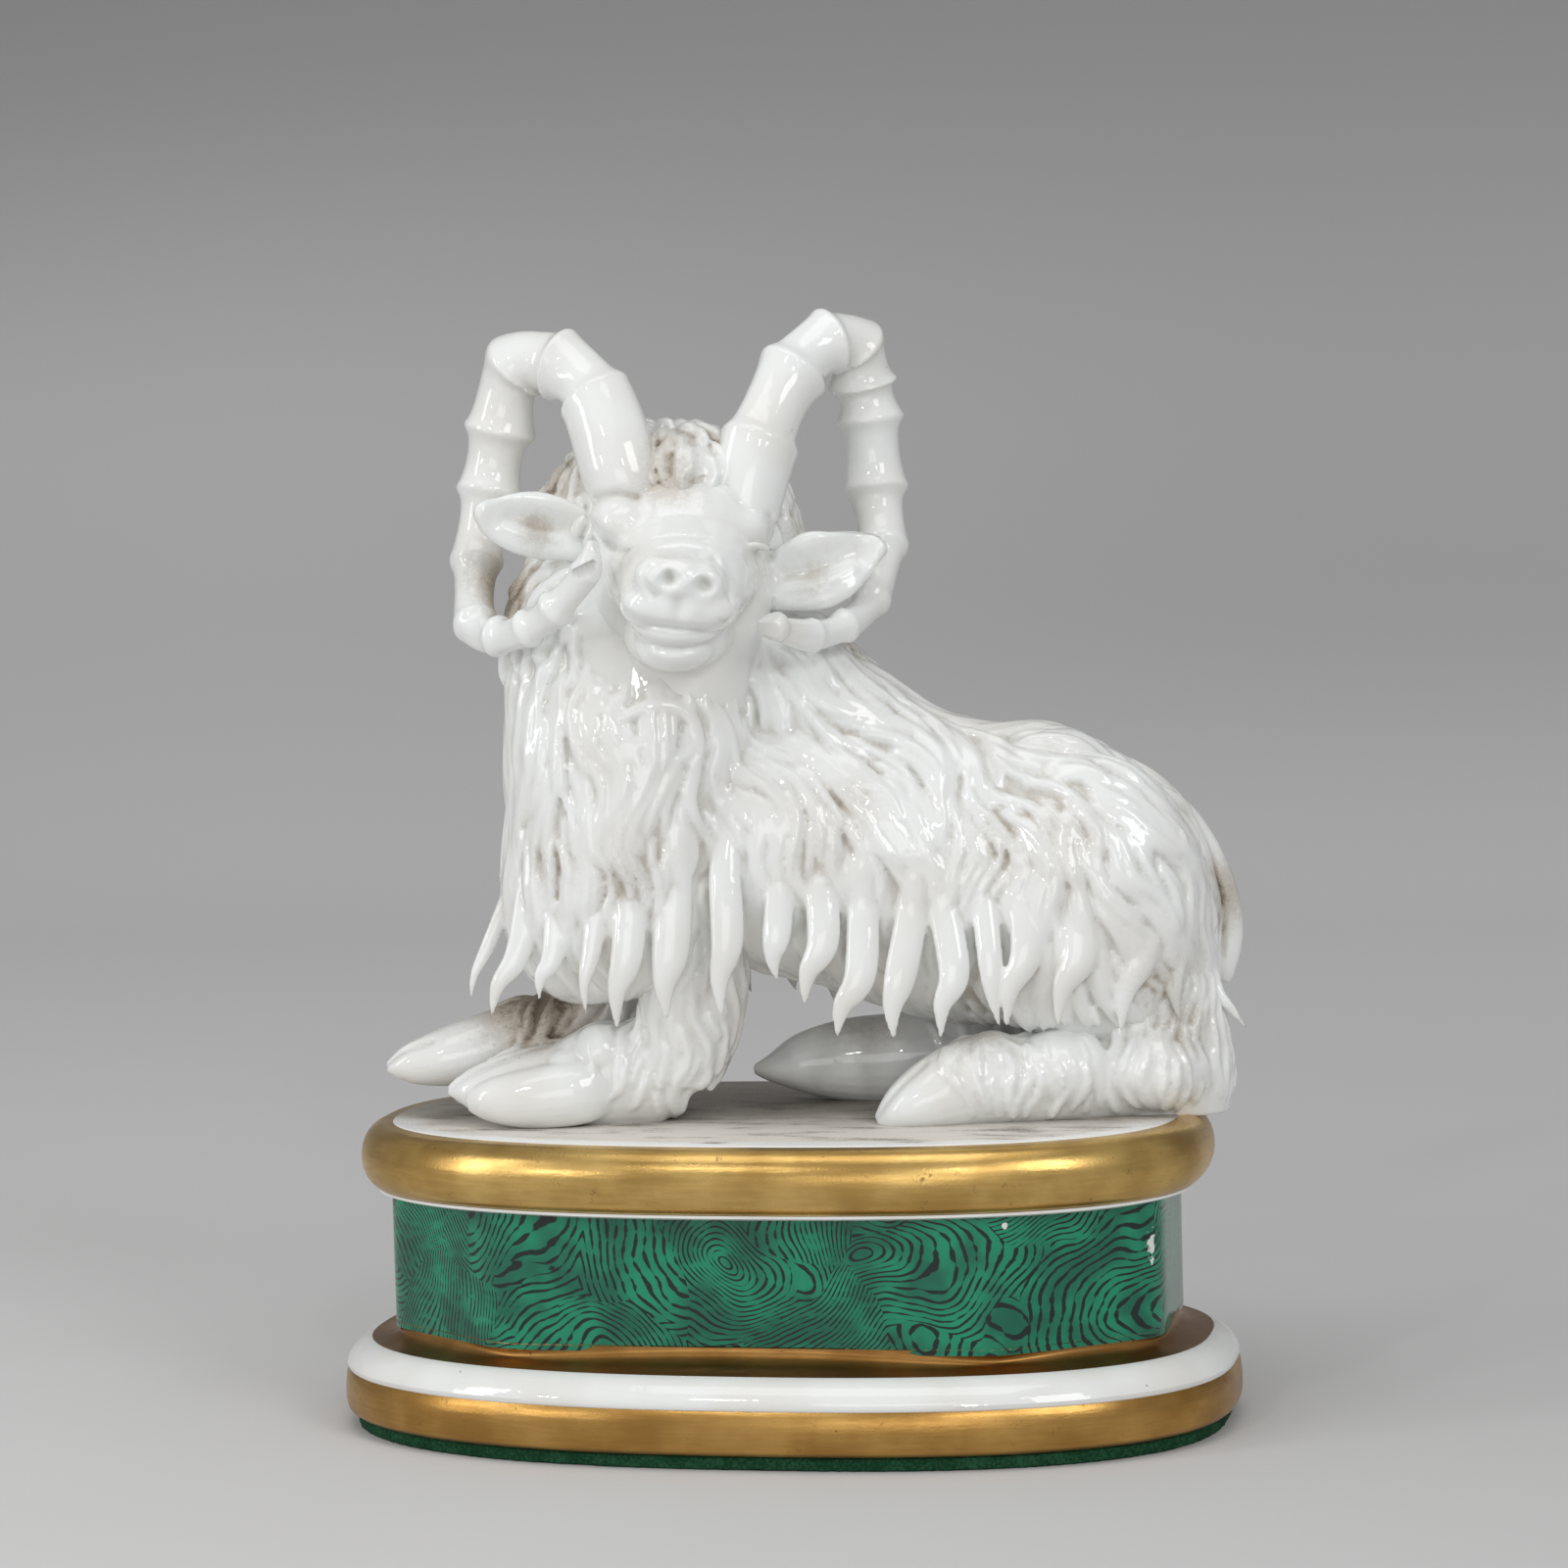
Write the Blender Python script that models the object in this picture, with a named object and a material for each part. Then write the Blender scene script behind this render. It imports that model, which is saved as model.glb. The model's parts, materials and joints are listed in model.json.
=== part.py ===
"""A glazed porcelain ram, lying on an oval gilt plinth with a felt pad under its foot.

Lengths are metres and +Z is up. The origin is the middle of the foot, on the floor.
The ram and its plinth were cast in pieces, stuck together wet and fired as one, so they
are one solid. The felt is glued on afterwards, so it is a second one.

The ram is modelled in a frame of its own: the face looks along -Y, +X runs towards the
rump, and z = 0 is the top of the plinth. RAM_TURN then turns it on the plinth.
"""
import math
import random

import bmesh
import bpy
import numpy as np
from mathutils import Matrix, Vector
from mathutils.bvhtree import BVHTree

# Felt pad
FELT_THICKNESS = 0.003
FELT_INSET = 0.0012
GLUE_GAP = 0.0003

# Plinth, seen from above: half the difference between length and width is the same all the way up
PLINTH_LENGTH = 0.200
PLINTH_WIDTH = 0.1204
OVAL_POWER = 2.48
PLINTH_SIDES = 64

# Plinth, heights of its mouldings above the floor
FOOT_TOP_Z = 0.0136
STEP_TOP_Z = 0.0194
DADO_BOTTOM_Z = 0.0233
DADO_TOP_Z = 0.0522
TORUS_HEIGHT = 0.0154
FOOT_ROUND = 0.0015

# Plinth, how far each moulding stands in from the foot's edge
STEP_INSET = 0.0060
TORUS_INSET = 0.0050
TORUS_BULGE = 0.0062

# The dado between the mouldings is an eight-sided drum with soft corners
DADO_INSET = 0.0138
DADO_SIDE_INSET = 0.0018
DADO_FRONT_LENGTH = 0.1082
DADO_END_WIDTH = 0.0420
DADO_CORNER_POWER = 34

# Ram, its place on the plinth
RAM_TURN = math.radians(12.2)
RAM_SINK = 0.0006

# Horns, ears and locks
HORN_NECK_SHARE = 0.76
HORN_STEP_LENGTH = 0.0012
EAR_THICKNESS = 0.0058
EAR_HOLLOW = 0.0026
HOOF_CLEFT = 0.0022
MOUTH_DEPTH = 0.0016
NOSTRIL_DEPTH = 0.0026
LOCK_THICKNESS = 0.62
ROOT_DEPTH = 0.0020
TUFT_LENGTH = 0.019
TUFT_WIDTH = 0.0058
TUFT_THICKNESS = 0.0036
TUFT_SPACING = 0.0068
TUFT_LIFT = 0.0011
TUFT_LOWEST_Z = 0.010
TUFT_END_Z = 0.004
THINNEST_CLAY = 0.0004

# Fineness of the finished skin
BODY_VOXEL = 0.0014
HEAD_VOXEL = 0.0009
BASE_VOXEL = 0.0022
BODY_TRIANGLES = 5000
HEAD_TRIANGLES = 2000

# Stations of the trunk and limbs: centre, half width across, half height
NECK = [
    ((-0.0270, 0.0030, 0.1180), 0.0235, 0.0195),
    ((-0.0290, -0.0005, 0.1060), 0.0260, 0.0205),
    ((-0.0300, -0.0040, 0.0940), 0.0262, 0.0200),
    ((-0.0306, -0.0050, 0.0810), 0.0260, 0.0215),
    ((-0.0312, -0.0040, 0.0650), 0.0252, 0.0225),
    ((-0.0325, -0.0030, 0.0480), 0.0250, 0.0215),
    ((-0.0330, -0.0010, 0.0370), 0.0200, 0.0180),
    ((-0.0330, 0.0000, 0.0310), 0.0120, 0.0100),
]
TRUNK = [
    ((-0.0240, 0.0000, 0.0640), 0.0160, 0.0190),
    ((-0.0114, 0.0000, 0.0635), 0.0215, 0.0260),
    ((0.0016, 0.0005, 0.0620), 0.0240, 0.0290),
    ((0.0168, 0.0010, 0.0600), 0.0250, 0.0305),
    ((0.0340, 0.0015, 0.0540), 0.0255, 0.0300),
    ((0.0534, 0.0000, 0.0500), 0.0250, 0.0300),
    ((0.0708, 0.0005, 0.0460), 0.0240, 0.0290),
    ((0.0830, 0.0010, 0.0390), 0.0212, 0.0265),
    ((0.0905, 0.0015, 0.0310), 0.0170, 0.0215),
    ((0.0948, 0.0020, 0.0260), 0.0110, 0.0125),
]
WITHERS = [
    ((-0.0190, 0.0050, 0.1130), 0.0150, 0.0120),
    ((-0.0080, 0.0045, 0.1040), 0.0170, 0.0150),
    ((0.0047, 0.0035, 0.0925), 0.0180, 0.0165),
    ((0.0195, 0.0025, 0.0790), 0.0200, 0.0170),
    ((0.0344, 0.0020, 0.0660), 0.0200, 0.0160),
]
HIND_NEAR = [
    ((0.0960, -0.0065, 0.0075), 0.0060, 0.0072),
    ((0.0885, -0.0095, 0.0080), 0.0095, 0.0090),
    ((0.0752, -0.0130, 0.0080), 0.0100, 0.0096),
    ((0.0557, -0.0170, 0.0085), 0.0100, 0.0100),
    ((0.0428, -0.0190, 0.0090), 0.0095, 0.0100),
    ((0.0346, -0.0200, 0.0070), 0.0090, 0.0088),
    ((0.0276, -0.0210, 0.0046), 0.0082, 0.0064),
    ((0.0226, -0.0212, 0.0024), 0.0055, 0.0036),
    ((0.0200, -0.0212, 0.0014), 0.0020, 0.0012),
]
HIND_FAR = [
    ((0.0925, 0.0120, 0.0080), 0.0070, 0.0085),
    ((0.0800, 0.0155, 0.0078), 0.0100, 0.0095),
    ((0.0581, 0.0185, 0.0080), 0.0100, 0.0100),
    ((0.0358, 0.0195, 0.0091), 0.0100, 0.0107),
    ((0.0224, 0.0190, 0.0093), 0.0095, 0.0102),
    ((0.0135, 0.0180, 0.0094), 0.0090, 0.0093),
    ((0.0046, 0.0165, 0.0092), 0.0080, 0.0070),
    ((-0.0020, 0.0155, 0.0084), 0.0055, 0.0036),
    ((-0.0066, 0.0150, 0.0083), 0.0018, 0.0010),
]
FORELEG_NEAR = [
    ((-0.0160, -0.0080, 0.0580), 0.0120, 0.0110),
    ((-0.0188, -0.0085, 0.0420), 0.0120, 0.0108),
    ((-0.0192, -0.0085, 0.0310), 0.0115, 0.0105),
    ((-0.0207, -0.0075, 0.0205), 0.0106, 0.0100),
    ((-0.0236, -0.0060, 0.0110), 0.0092, 0.0095),
]
FOREFOOT_NEAR = [
    ((-0.0205, -0.0050, 0.0095), 0.0080, 0.0080),
    ((-0.0260, -0.0050, 0.0108), 0.0095, 0.0114),
    ((-0.0330, -0.0050, 0.0106), 0.0098, 0.0118),
    ((-0.0409, -0.0050, 0.0103), 0.0098, 0.0115),
    ((-0.0486, -0.0052, 0.0086), 0.0092, 0.0096),
    ((-0.0562, -0.0054, 0.0077), 0.0090, 0.0086),
    ((-0.0637, -0.0056, 0.0079), 0.0080, 0.0068),
    ((-0.0702, -0.0058, 0.0085), 0.0052, 0.0037),
    ((-0.0740, -0.0058, 0.0084), 0.0018, 0.0010),
]
FORELEG_FAR = [
    ((-0.0300, 0.0100, 0.0450), 0.0100, 0.0100),
    ((-0.0340, 0.0130, 0.0250), 0.0100, 0.0100),
    ((-0.0340, 0.0135, 0.0080), 0.0092, 0.0092),
    ((-0.0338, 0.0135, -0.0010), 0.0080, 0.0080),
]
FOREFOOT_FAR = [
    ((-0.0360, 0.0130, 0.0240), 0.0095, 0.0110),
    ((-0.0457, 0.0135, 0.0205), 0.0092, 0.0090),
    ((-0.0567, 0.0120, 0.0179), 0.0088, 0.0081),
    ((-0.0677, 0.0100, 0.0154), 0.0085, 0.0075),
    ((-0.0764, 0.0085, 0.0137), 0.0076, 0.0064),
    ((-0.0840, 0.0072, 0.0127), 0.0048, 0.0042),
    ((-0.0885, 0.0064, 0.0123), 0.0016, 0.0011),
]
TAIL = [
    ((0.0830, 0.0015, 0.0680), 0.0030, 0.0030),
    ((0.0893, 0.0015, 0.0645), 0.0036, 0.0034),
    ((0.0948, 0.0015, 0.0575), 0.0036, 0.0034),
    ((0.0990, 0.0010, 0.0485), 0.0036, 0.0032),
    ((0.1010, 0.0010, 0.0393), 0.0034, 0.0028),
    ((0.1006, 0.0005, 0.0300), 0.0026, 0.0020),
    ((0.1001, 0.0000, 0.0225), 0.0009, 0.0008),
]

# Stations of the face, from the skull to the nose: centre, half width, half height
FACE = [
    ((-0.0185, -0.0060, 0.1256), 0.0185, 0.0185),
    ((-0.0183, -0.0170, 0.1235), 0.0182, 0.0182),
    ((-0.0183, -0.0250, 0.1200), 0.0165, 0.0160),
    ((-0.0182, -0.0320, 0.1172), 0.0140, 0.0128),
    ((-0.0180, -0.0390, 0.1165), 0.0112, 0.0098),
    ((-0.0179, -0.0435, 0.1172), 0.0090, 0.0074),
    ((-0.0178, -0.0460, 0.1182), 0.0066, 0.0048),
]

# Balls of clay: centre, radii
SKULL = ((-0.0225, 0.0050, 0.1286), (0.0290, 0.0225, 0.0250))
HAUNCHES = [
    ((0.0663, -0.0130, 0.0465), (0.0255, 0.0150, 0.0315)),
    ((0.0675, 0.0130, 0.0450), (0.0255, 0.0140, 0.0315)),
    ((0.0560, -0.0050, 0.0715), (0.0120, 0.0120, 0.0100)),
]
FACE_BALLS = [
    ((-0.0182, -0.0040, 0.1430), (0.0110, 0.0130, 0.0115)),
    ((-0.0207, -0.0315, 0.1054), (0.0090, 0.0070, 0.0058)),
    ((-0.0193, -0.0370, 0.1092), (0.0092, 0.0045, 0.0026)),
    ((-0.0238, -0.0405, 0.1140), (0.0068, 0.0045, 0.0040)),
    ((-0.0135, -0.0400, 0.1134), (0.0068, 0.0045, 0.0040)),
    ((-0.0183, -0.0455, 0.1205), (0.0086, 0.0034, 0.0055)),
    ((-0.0172, -0.0300, 0.1290), (0.0062, 0.0120, 0.0080)),
    ((-0.0300, -0.0190, 0.1160), (0.0090, 0.0080, 0.0110)),
    ((-0.0070, -0.0170, 0.1160), (0.0086, 0.0080, 0.0110)),
    ((-0.0300, -0.0225, 0.1352), (0.0085, 0.0050, 0.0038)),
    ((-0.0045, -0.0205, 0.1318), (0.0080, 0.0050, 0.0038)),
    ((-0.0312, -0.0235, 0.1302), (0.0056, 0.0042, 0.0036)),
    ((-0.0036, -0.0220, 0.1245), (0.0052, 0.0042, 0.0036)),
]

# Ears from root to tip: centre, half width
EAR_LEFT = [
    ((-0.0380, -0.0100, 0.1283), 0.0040),
    ((-0.0433, -0.0130, 0.1302), 0.0060),
    ((-0.0489, -0.0160, 0.1317), 0.0071),
    ((-0.0540, -0.0185, 0.1327), 0.0066),
    ((-0.0587, -0.0205, 0.1342), 0.0046),
    ((-0.0613, -0.0215, 0.1353), 0.0026),
    ((-0.0632, -0.0218, 0.1358), 0.0010),
]
EAR_LEFT_FACING = Vector((-0.25, -1, 0.1)).normalized()
EAR_RIGHT_FACING = Vector((0.1, -1, 0.1)).normalized()
EAR_RIGHT = [
    ((0.0000, -0.0090, 0.1187), 0.0055),
    ((0.0049, -0.0115, 0.1195), 0.0074),
    ((0.0096, -0.0130, 0.1207), 0.0087),
    ((0.0143, -0.0130, 0.1220), 0.0080),
    ((0.0186, -0.0120, 0.1238), 0.0060),
    ((0.0225, -0.0100, 0.1250), 0.0034),
    ((0.0254, -0.0085, 0.1252), 0.0011),
]

# Horns: each ring from root to tip, its centre and its radius
HORN_LEFT = [
    ((-0.0280, -0.0100, 0.1313), 0.0077),
    ((-0.0315, -0.0115, 0.1430), 0.0087),
    ((-0.0369, -0.0060, 0.1596), 0.0083),
    ((-0.0449, 0.0000, 0.1669), 0.0079),
    ((-0.0546, 0.0045, 0.1664), 0.0078),
    ((-0.0587, 0.0070, 0.1528), 0.0078),
    ((-0.0615, 0.0070, 0.1392), 0.0071),
    ((-0.0645, 0.0030, 0.1240), 0.0058),
    ((-0.0643, -0.0080, 0.1110), 0.0049),
    ((-0.0587, -0.0160, 0.1086), 0.0045),
    ((-0.0519, -0.0230, 0.1106), 0.0043),
    ((-0.0457, -0.0280, 0.1149), 0.0043),
    ((-0.0387, -0.0340, 0.1230), 0.0032),
    ((-0.0376, -0.0360, 0.1292), 0.0009),
]
HORN_RIGHT = [
    ((-0.0050, -0.0110, 0.1330), 0.0074),
    ((-0.0013, -0.0080, 0.1488), 0.0087),
    ((0.0066, -0.0010, 0.1642), 0.0079),
    ((0.0146, 0.0040, 0.1704), 0.0073),
    ((0.0205, 0.0080, 0.1690), 0.0070),
    ((0.0219, 0.0110, 0.1612), 0.0077),
    ((0.0233, 0.0115, 0.1531), 0.0074),
    ((0.0242, 0.0115, 0.1377), 0.0071),
    ((0.0250, 0.0060, 0.1251), 0.0058),
    ((0.0220, -0.0030, 0.1140), 0.0044),
    ((0.0156, -0.0130, 0.1086), 0.0038),
    ((0.0079, -0.0210, 0.1072), 0.0035),
    ((0.0017, -0.0280, 0.1087), 0.0037),
    ((-0.0040, -0.0330, 0.1115), 0.0010),
]

# Hanging locks of the fringe: root, middle, tip, half width at the middle
FRINGE = [
    ((-0.0585, -0.0080, 0.0540), (-0.0637, -0.0090, 0.0410), (-0.0680, -0.0100, 0.0269), 0.0017),
    ((-0.0540, -0.0150, 0.0560), (-0.0568, -0.0180, 0.0400), (-0.0631, -0.0195, 0.0257), 0.0029),
    ((-0.0480, -0.0200, 0.0560), (-0.0490, -0.0225, 0.0400), (-0.0523, -0.0235, 0.0300), 0.0026),
    ((-0.0385, -0.0240, 0.0560), (-0.0405, -0.0262, 0.0410), (-0.0421, -0.0275, 0.0270), 0.0023),
    ((-0.0315, -0.0250, 0.0560), (-0.0329, -0.0275, 0.0400), (-0.0355, -0.0280, 0.0240), 0.0036),
    ((-0.0225, -0.0240, 0.0540), (-0.0236, -0.0262, 0.0400), (-0.0247, -0.0265, 0.0255), 0.0042),
    ((-0.0115, -0.0235, 0.0560), (-0.0113, -0.0260, 0.0420), (-0.0130, -0.0260, 0.0255), 0.0036),
    ((0.0020, -0.0225, 0.0560), (0.0006, -0.0250, 0.0430), (0.0021, -0.0250, 0.0330), 0.0036),
    ((0.0105, -0.0230, 0.0560), (0.0111, -0.0258, 0.0415), (0.0069, -0.0262, 0.0275), 0.0036),
    ((0.0192, -0.0235, 0.0490), (0.0187, -0.0268, 0.0340), (0.0142, -0.0272, 0.0205), 0.0036),
    ((0.0294, -0.0240, 0.0470), (0.0254, -0.0272, 0.0335), (0.0264, -0.0278, 0.0198), 0.0037),
    ((0.0368, -0.0245, 0.0480), (0.0380, -0.0278, 0.0340), (0.0372, -0.0280, 0.0200), 0.0033),
    ((0.0466, -0.0245, 0.0510), (0.0488, -0.0280, 0.0360), (0.0495, -0.0285, 0.0222), 0.0028),
    ((0.0562, -0.0250, 0.0520), (0.0565, -0.0282, 0.0380), (0.0512, -0.0285, 0.0222), 0.0036),
    ((0.0676, -0.0250, 0.0540), (0.0667, -0.0282, 0.0380), (0.0630, -0.0285, 0.0220), 0.0042),
    ((0.0795, -0.0225, 0.0480), (0.0788, -0.0255, 0.0360), (0.0766, -0.0262, 0.0200), 0.0040),
    ((0.0880, -0.0165, 0.0500), (0.0892, -0.0195, 0.0370), (0.0906, -0.0205, 0.0215), 0.0032),
    ((0.0930, -0.0080, 0.0400), (0.0952, -0.0105, 0.0270), (0.1020, -0.0115, 0.0175), 0.0018),
]
FAR_FRINGE_SWELL = 0.0015
FAR_FRINGE_SPACING = 0.0098
FAR_FRINGE_X = (-0.0280, 0.0850)
FAR_FRINGE_TOP = 0.0540
FAR_FRINGE_TIP = 0.0215
FAR_FRINGE_HALF_WIDTH = 0.0036
FAR_FRINGE_LEAN = 0.0034

# Curls of the beard below the chin: root, middle, tip, half width at the middle
BEARD = [
    ((-0.0330, -0.0240, 0.0980), (-0.0340, -0.0275, 0.0890), (-0.0270, -0.0300, 0.0840), 0.0036),
    ((-0.0270, -0.0270, 0.1000), (-0.0300, -0.0300, 0.0930), (-0.0235, -0.0315, 0.0860), 0.0034),
    ((-0.0150, -0.0195, 0.0990), (-0.0140, -0.0225, 0.0920), (-0.0190, -0.0255, 0.0860), 0.0036),
    ((-0.0420, -0.0200, 0.0960), (-0.0450, -0.0230, 0.0880), (-0.0410, -0.0255, 0.0830), 0.0034),
]

# Creases cut into the skin: the points they run through
MOUTH = [
    (-0.0308, -0.0330, 0.1140), (-0.0250, -0.0430, 0.1108), (-0.0190, -0.0450, 0.1105),
    (-0.0135, -0.0430, 0.1100), (-0.0080, -0.0330, 0.1130),
]
LIP_CLEFT = [(-0.0183, -0.0470, 0.1160), (-0.0186, -0.0450, 0.1110)]
CHIN_CREASE = [(-0.0250, -0.0370, 0.1072), (-0.0200, -0.0410, 0.1066), (-0.0150, -0.0370, 0.1070)]
EYE_LEFT = [(-0.0370, -0.0230, 0.1318), (-0.0318, -0.0280, 0.1280), (-0.0265, -0.0290, 0.1284)]
EYE_RIGHT = [(-0.0085, -0.0280, 0.1250), (-0.0045, -0.0270, 0.1215), (0.0005, -0.0210, 0.1240)]
NOSTRILS = [(-0.0213, -0.0490, 0.1206), (-0.0148, -0.0490, 0.1196)]
CREASE_WIDTH = 0.0015
NOSTRIL_WIDTH = 0.0021
EAR_HOLLOW_LEFT = [(-0.0430, -0.0200, 0.1300), (-0.0560, -0.0240, 0.1335)]
EAR_HOLLOW_RIGHT = [(0.0070, -0.0200, 0.1200), (0.0190, -0.0190, 0.1240)]
EAR_HOLLOW_WIDTH = 0.0052
CLEFT_FORE_NEAR = [(-0.0740, -0.0100, 0.0095), (-0.0600, -0.0100, 0.0150)]
CLEFT_FORE_FAR = [(-0.0880, 0.0030, 0.0135), (-0.0740, 0.0050, 0.0195)]
CLEFT_HIND_NEAR = [(0.0205, -0.0260, 0.0030), (0.0330, -0.0250, 0.0145)]
CLEFT_HIND_FAR = [(-0.0060, 0.0110, 0.0090), (0.0080, 0.0130, 0.0165)]

# Where no tuft grows: the face, and the hooves from here to their tips
FACE_BACK_Y = -0.0100
FACE_BOTTOM_Z = 0.1040
FORE_HOOF_X = -0.0460
HIND_NEAR_TOE_X = 0.0
HIND_NEAR_HOOF_X = 0.0400
HIND_FAR_TOE_X = -0.0200
HIND_FAR_HOOF_X = 0.0250
HOOF_TOP_Z = 0.0260

# The wool hangs straight down on the chest and leans to the rump behind the shoulder
CHEST_BACK_X = -0.0300
SHOULDER_LENGTH = 0.0450

PLINTH_TOP_Z = DADO_TOP_Z + TORUS_HEIGHT


def clear_scene():
    for old in list(bpy.data.objects):
        bpy.data.objects.remove(old, do_unlink=True)


def make_material(name, colour, roughness, metallic=0.0):
    """A plain Principled material."""
    material = bpy.data.materials.new(name)
    material.use_nodes = True
    shader = material.node_tree.nodes["Principled BSDF"]
    shader.inputs["Base Color"].default_value = (*colour, 1.0)
    shader.inputs["Roughness"].default_value = roughness
    shader.inputs["Metallic"].default_value = metallic
    return material


def object_from_bmesh(name, mesh_data):
    mesh = bpy.data.meshes.new(name)
    mesh_data.to_mesh(mesh)
    mesh_data.free()
    piece = bpy.data.objects.new(name, mesh)
    bpy.context.scene.collection.objects.link(piece)
    return piece


def apply_modifiers(piece):
    """Puts the evaluated mesh in place of the mesh and its modifiers."""
    bpy.context.view_layer.update()
    graph = bpy.context.evaluated_depsgraph_get()
    mesh = bpy.data.meshes.new_from_object(piece.evaluated_get(graph))
    piece.modifiers.clear()
    old = piece.data
    piece.data = mesh
    bpy.data.meshes.remove(old)


def loft(body, rings):
    """Skins a row of point loops, with a face at each end."""
    loops = [[body.verts.new(point) for point in ring] for ring in rings]
    for lower, upper in zip(loops, loops[1:]):
        for i in range(len(lower)):
            j = (i + 1) % len(lower)
            body.faces.new((lower[i], lower[j], upper[j], upper[i]))
    body.faces.new(list(reversed(loops[0])))
    body.faces.new(loops[-1])


def smooth_path(points, steps):
    """Points of a smooth curve through the given ones, steps to each span."""
    path = []
    last = len(points) - 1
    for i in range(last):
        before, start = points[max(i - 1, 0)], points[i]
        end, after = points[i + 1], points[min(i + 2, last)]
        for step in range(steps):
            t = step / steps
            path.append([
                0.5 * (2 * b + (c - a) * t + (2 * a - 5 * b + 4 * c - d) * t * t
                       + (3 * b - a - 3 * c + d) * t ** 3)
                for a, b, c, d in zip(before, start, end, after)
            ])
    path.append(list(points[last]))
    return path


def tube(body, centres, halves, up, sides=10):
    """An elliptical tube: halves are the half sizes along the side and along up at each centre."""
    rings = []
    for i, centre in enumerate(centres):
        ahead = centres[min(i + 1, len(centres) - 1)] - centres[max(i - 1, 0)]
        ahead.normalize()
        side = ahead.cross(up[i] if isinstance(up, list) else up).normalized()
        top = side.cross(ahead)
        wide, high = halves[i]
        rings.append([
            centre + side * (wide * math.cos(a)) + top * (high * math.sin(a))
            for a in (2 * math.pi * k / sides for k in range(sides))
        ])
    loft(body, rings)


def limb(body, stations, up=Vector((0, 0, 1)), steps=4, sides=20):
    """A smooth tube through stations of (centre, half width, half height)."""
    flat = [(*centre, wide, high) for centre, wide, high in stations]
    path = smooth_path(flat, steps)
    centres = [Vector(row[:3]) for row in path]
    halves = [(max(row[3], THINNEST_CLAY), max(row[4], THINNEST_CLAY)) for row in path]
    tube(body, centres, halves, up, sides)


def ball(body, centre, radii):
    place = Matrix.LocRotScale(Vector(centre), None, Vector(radii))
    bmesh.ops.create_uvsphere(body, u_segments=20, v_segments=12, radius=1.0, matrix=place)


def ringed_horn(body, rings, sides=9):
    """A horn that narrows behind each ring and widens evenly to the next one."""
    spans = 6
    path = smooth_path([(*centre, radius) for centre, radius in rings], spans)
    centres, halves = [], []
    for i in range(0, len(path) - 1, spans):
        ring, middle, following = (Vector(path[i + k][:3]) for k in (0, spans // 2, spans))
        radius, next_radius = path[i][3], path[i + spans][3]
        step = (middle - ring).normalized() * HORN_STEP_LENGTH
        neck = HORN_NECK_SHARE * (0.6 * radius + 0.4 * next_radius)
        centres += [ring, ring + step, middle]
        halves += [radius, neck, 0.55 * neck + 0.45 * next_radius]
    centres.append(following)
    halves.append(next_radius)
    ups = []
    side = Vector((0, 1, 0))
    for i, centre in enumerate(centres):
        ahead = centres[min(i + 1, len(centres) - 1)] - centres[max(i - 1, 0)]
        side = (side - ahead * (side.dot(ahead) / ahead.length_squared)).normalized()
        ups.append(side)
    tube(body, centres, [(half, half) for half in halves], ups, sides)


def ear(body, stations, face):
    """A leaf of clay: flat along the way it faces, as wide as its stations say."""
    path = smooth_path([(*centre, wide) for centre, wide in stations], 4)
    centres = [Vector(row[:3]) for row in path]
    halves = [(max(row[3], THINNEST_CLAY), min(row[3], EAR_THICKNESS / 2)) for row in path]
    tube(body, centres, halves, face, 16)


def seat(skin, point):
    """The nearest point of the skin, sunk into the clay so that what starts there holds."""
    spot, normal, _, _ = skin.find_nearest(Vector(point))
    return spot - normal * ROOT_DEPTH


def lock(body, root, middle, tip, half_width, sides=8):
    """One hanging lock: a pointed leaf that bends from its root to its tip."""
    points = [Vector(p) for p in smooth_path([root, middle, tip], 5)]
    shape = (0.45, 0.62, 0.78, 0.92, 1.0, 1.0, 0.93, 0.80, 0.62, 0.38, 0.12)
    halves = [(half_width * s, half_width * s * LOCK_THICKNESS) for s in shape]
    outward = Vector((0, -1, 0)) if root[1] < 0 else Vector((0, 1, 0))
    tube(body, points, halves, outward, sides)


def comb(point, normal):
    """The way the wool hangs at a point of the skin."""
    rear = min(max((point.x - CHEST_BACK_X) / SHOULDER_LENGTH, 0.0), 1.0)
    way = Vector((rear * (0.18 + 0.9 * max(normal.z, 0.0)), 0.25 * normal.y * normal.z, -1.0))
    if point.z > FACE_BOTTOM_Z:
        way = Vector((0.4 * normal.x, 0.8, -0.7))
    way -= normal * way.dot(normal)
    return way.normalized()


def is_bare(point):
    """True on the face and on the hooves."""
    if point.z > FACE_BOTTOM_Z and point.y < FACE_BACK_Y:
        return True
    fore = point.x < FORE_HOOF_X and point.z < HOOF_TOP_Z
    low = point.z < HOOF_TOP_Z
    hind_near = HIND_NEAR_TOE_X < point.x < HIND_NEAR_HOOF_X and point.y < 0.0 and low
    hind_far = HIND_FAR_TOE_X < point.x < HIND_FAR_HOOF_X and point.y > 0.0 and low
    return fore or hind_near or hind_far


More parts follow.
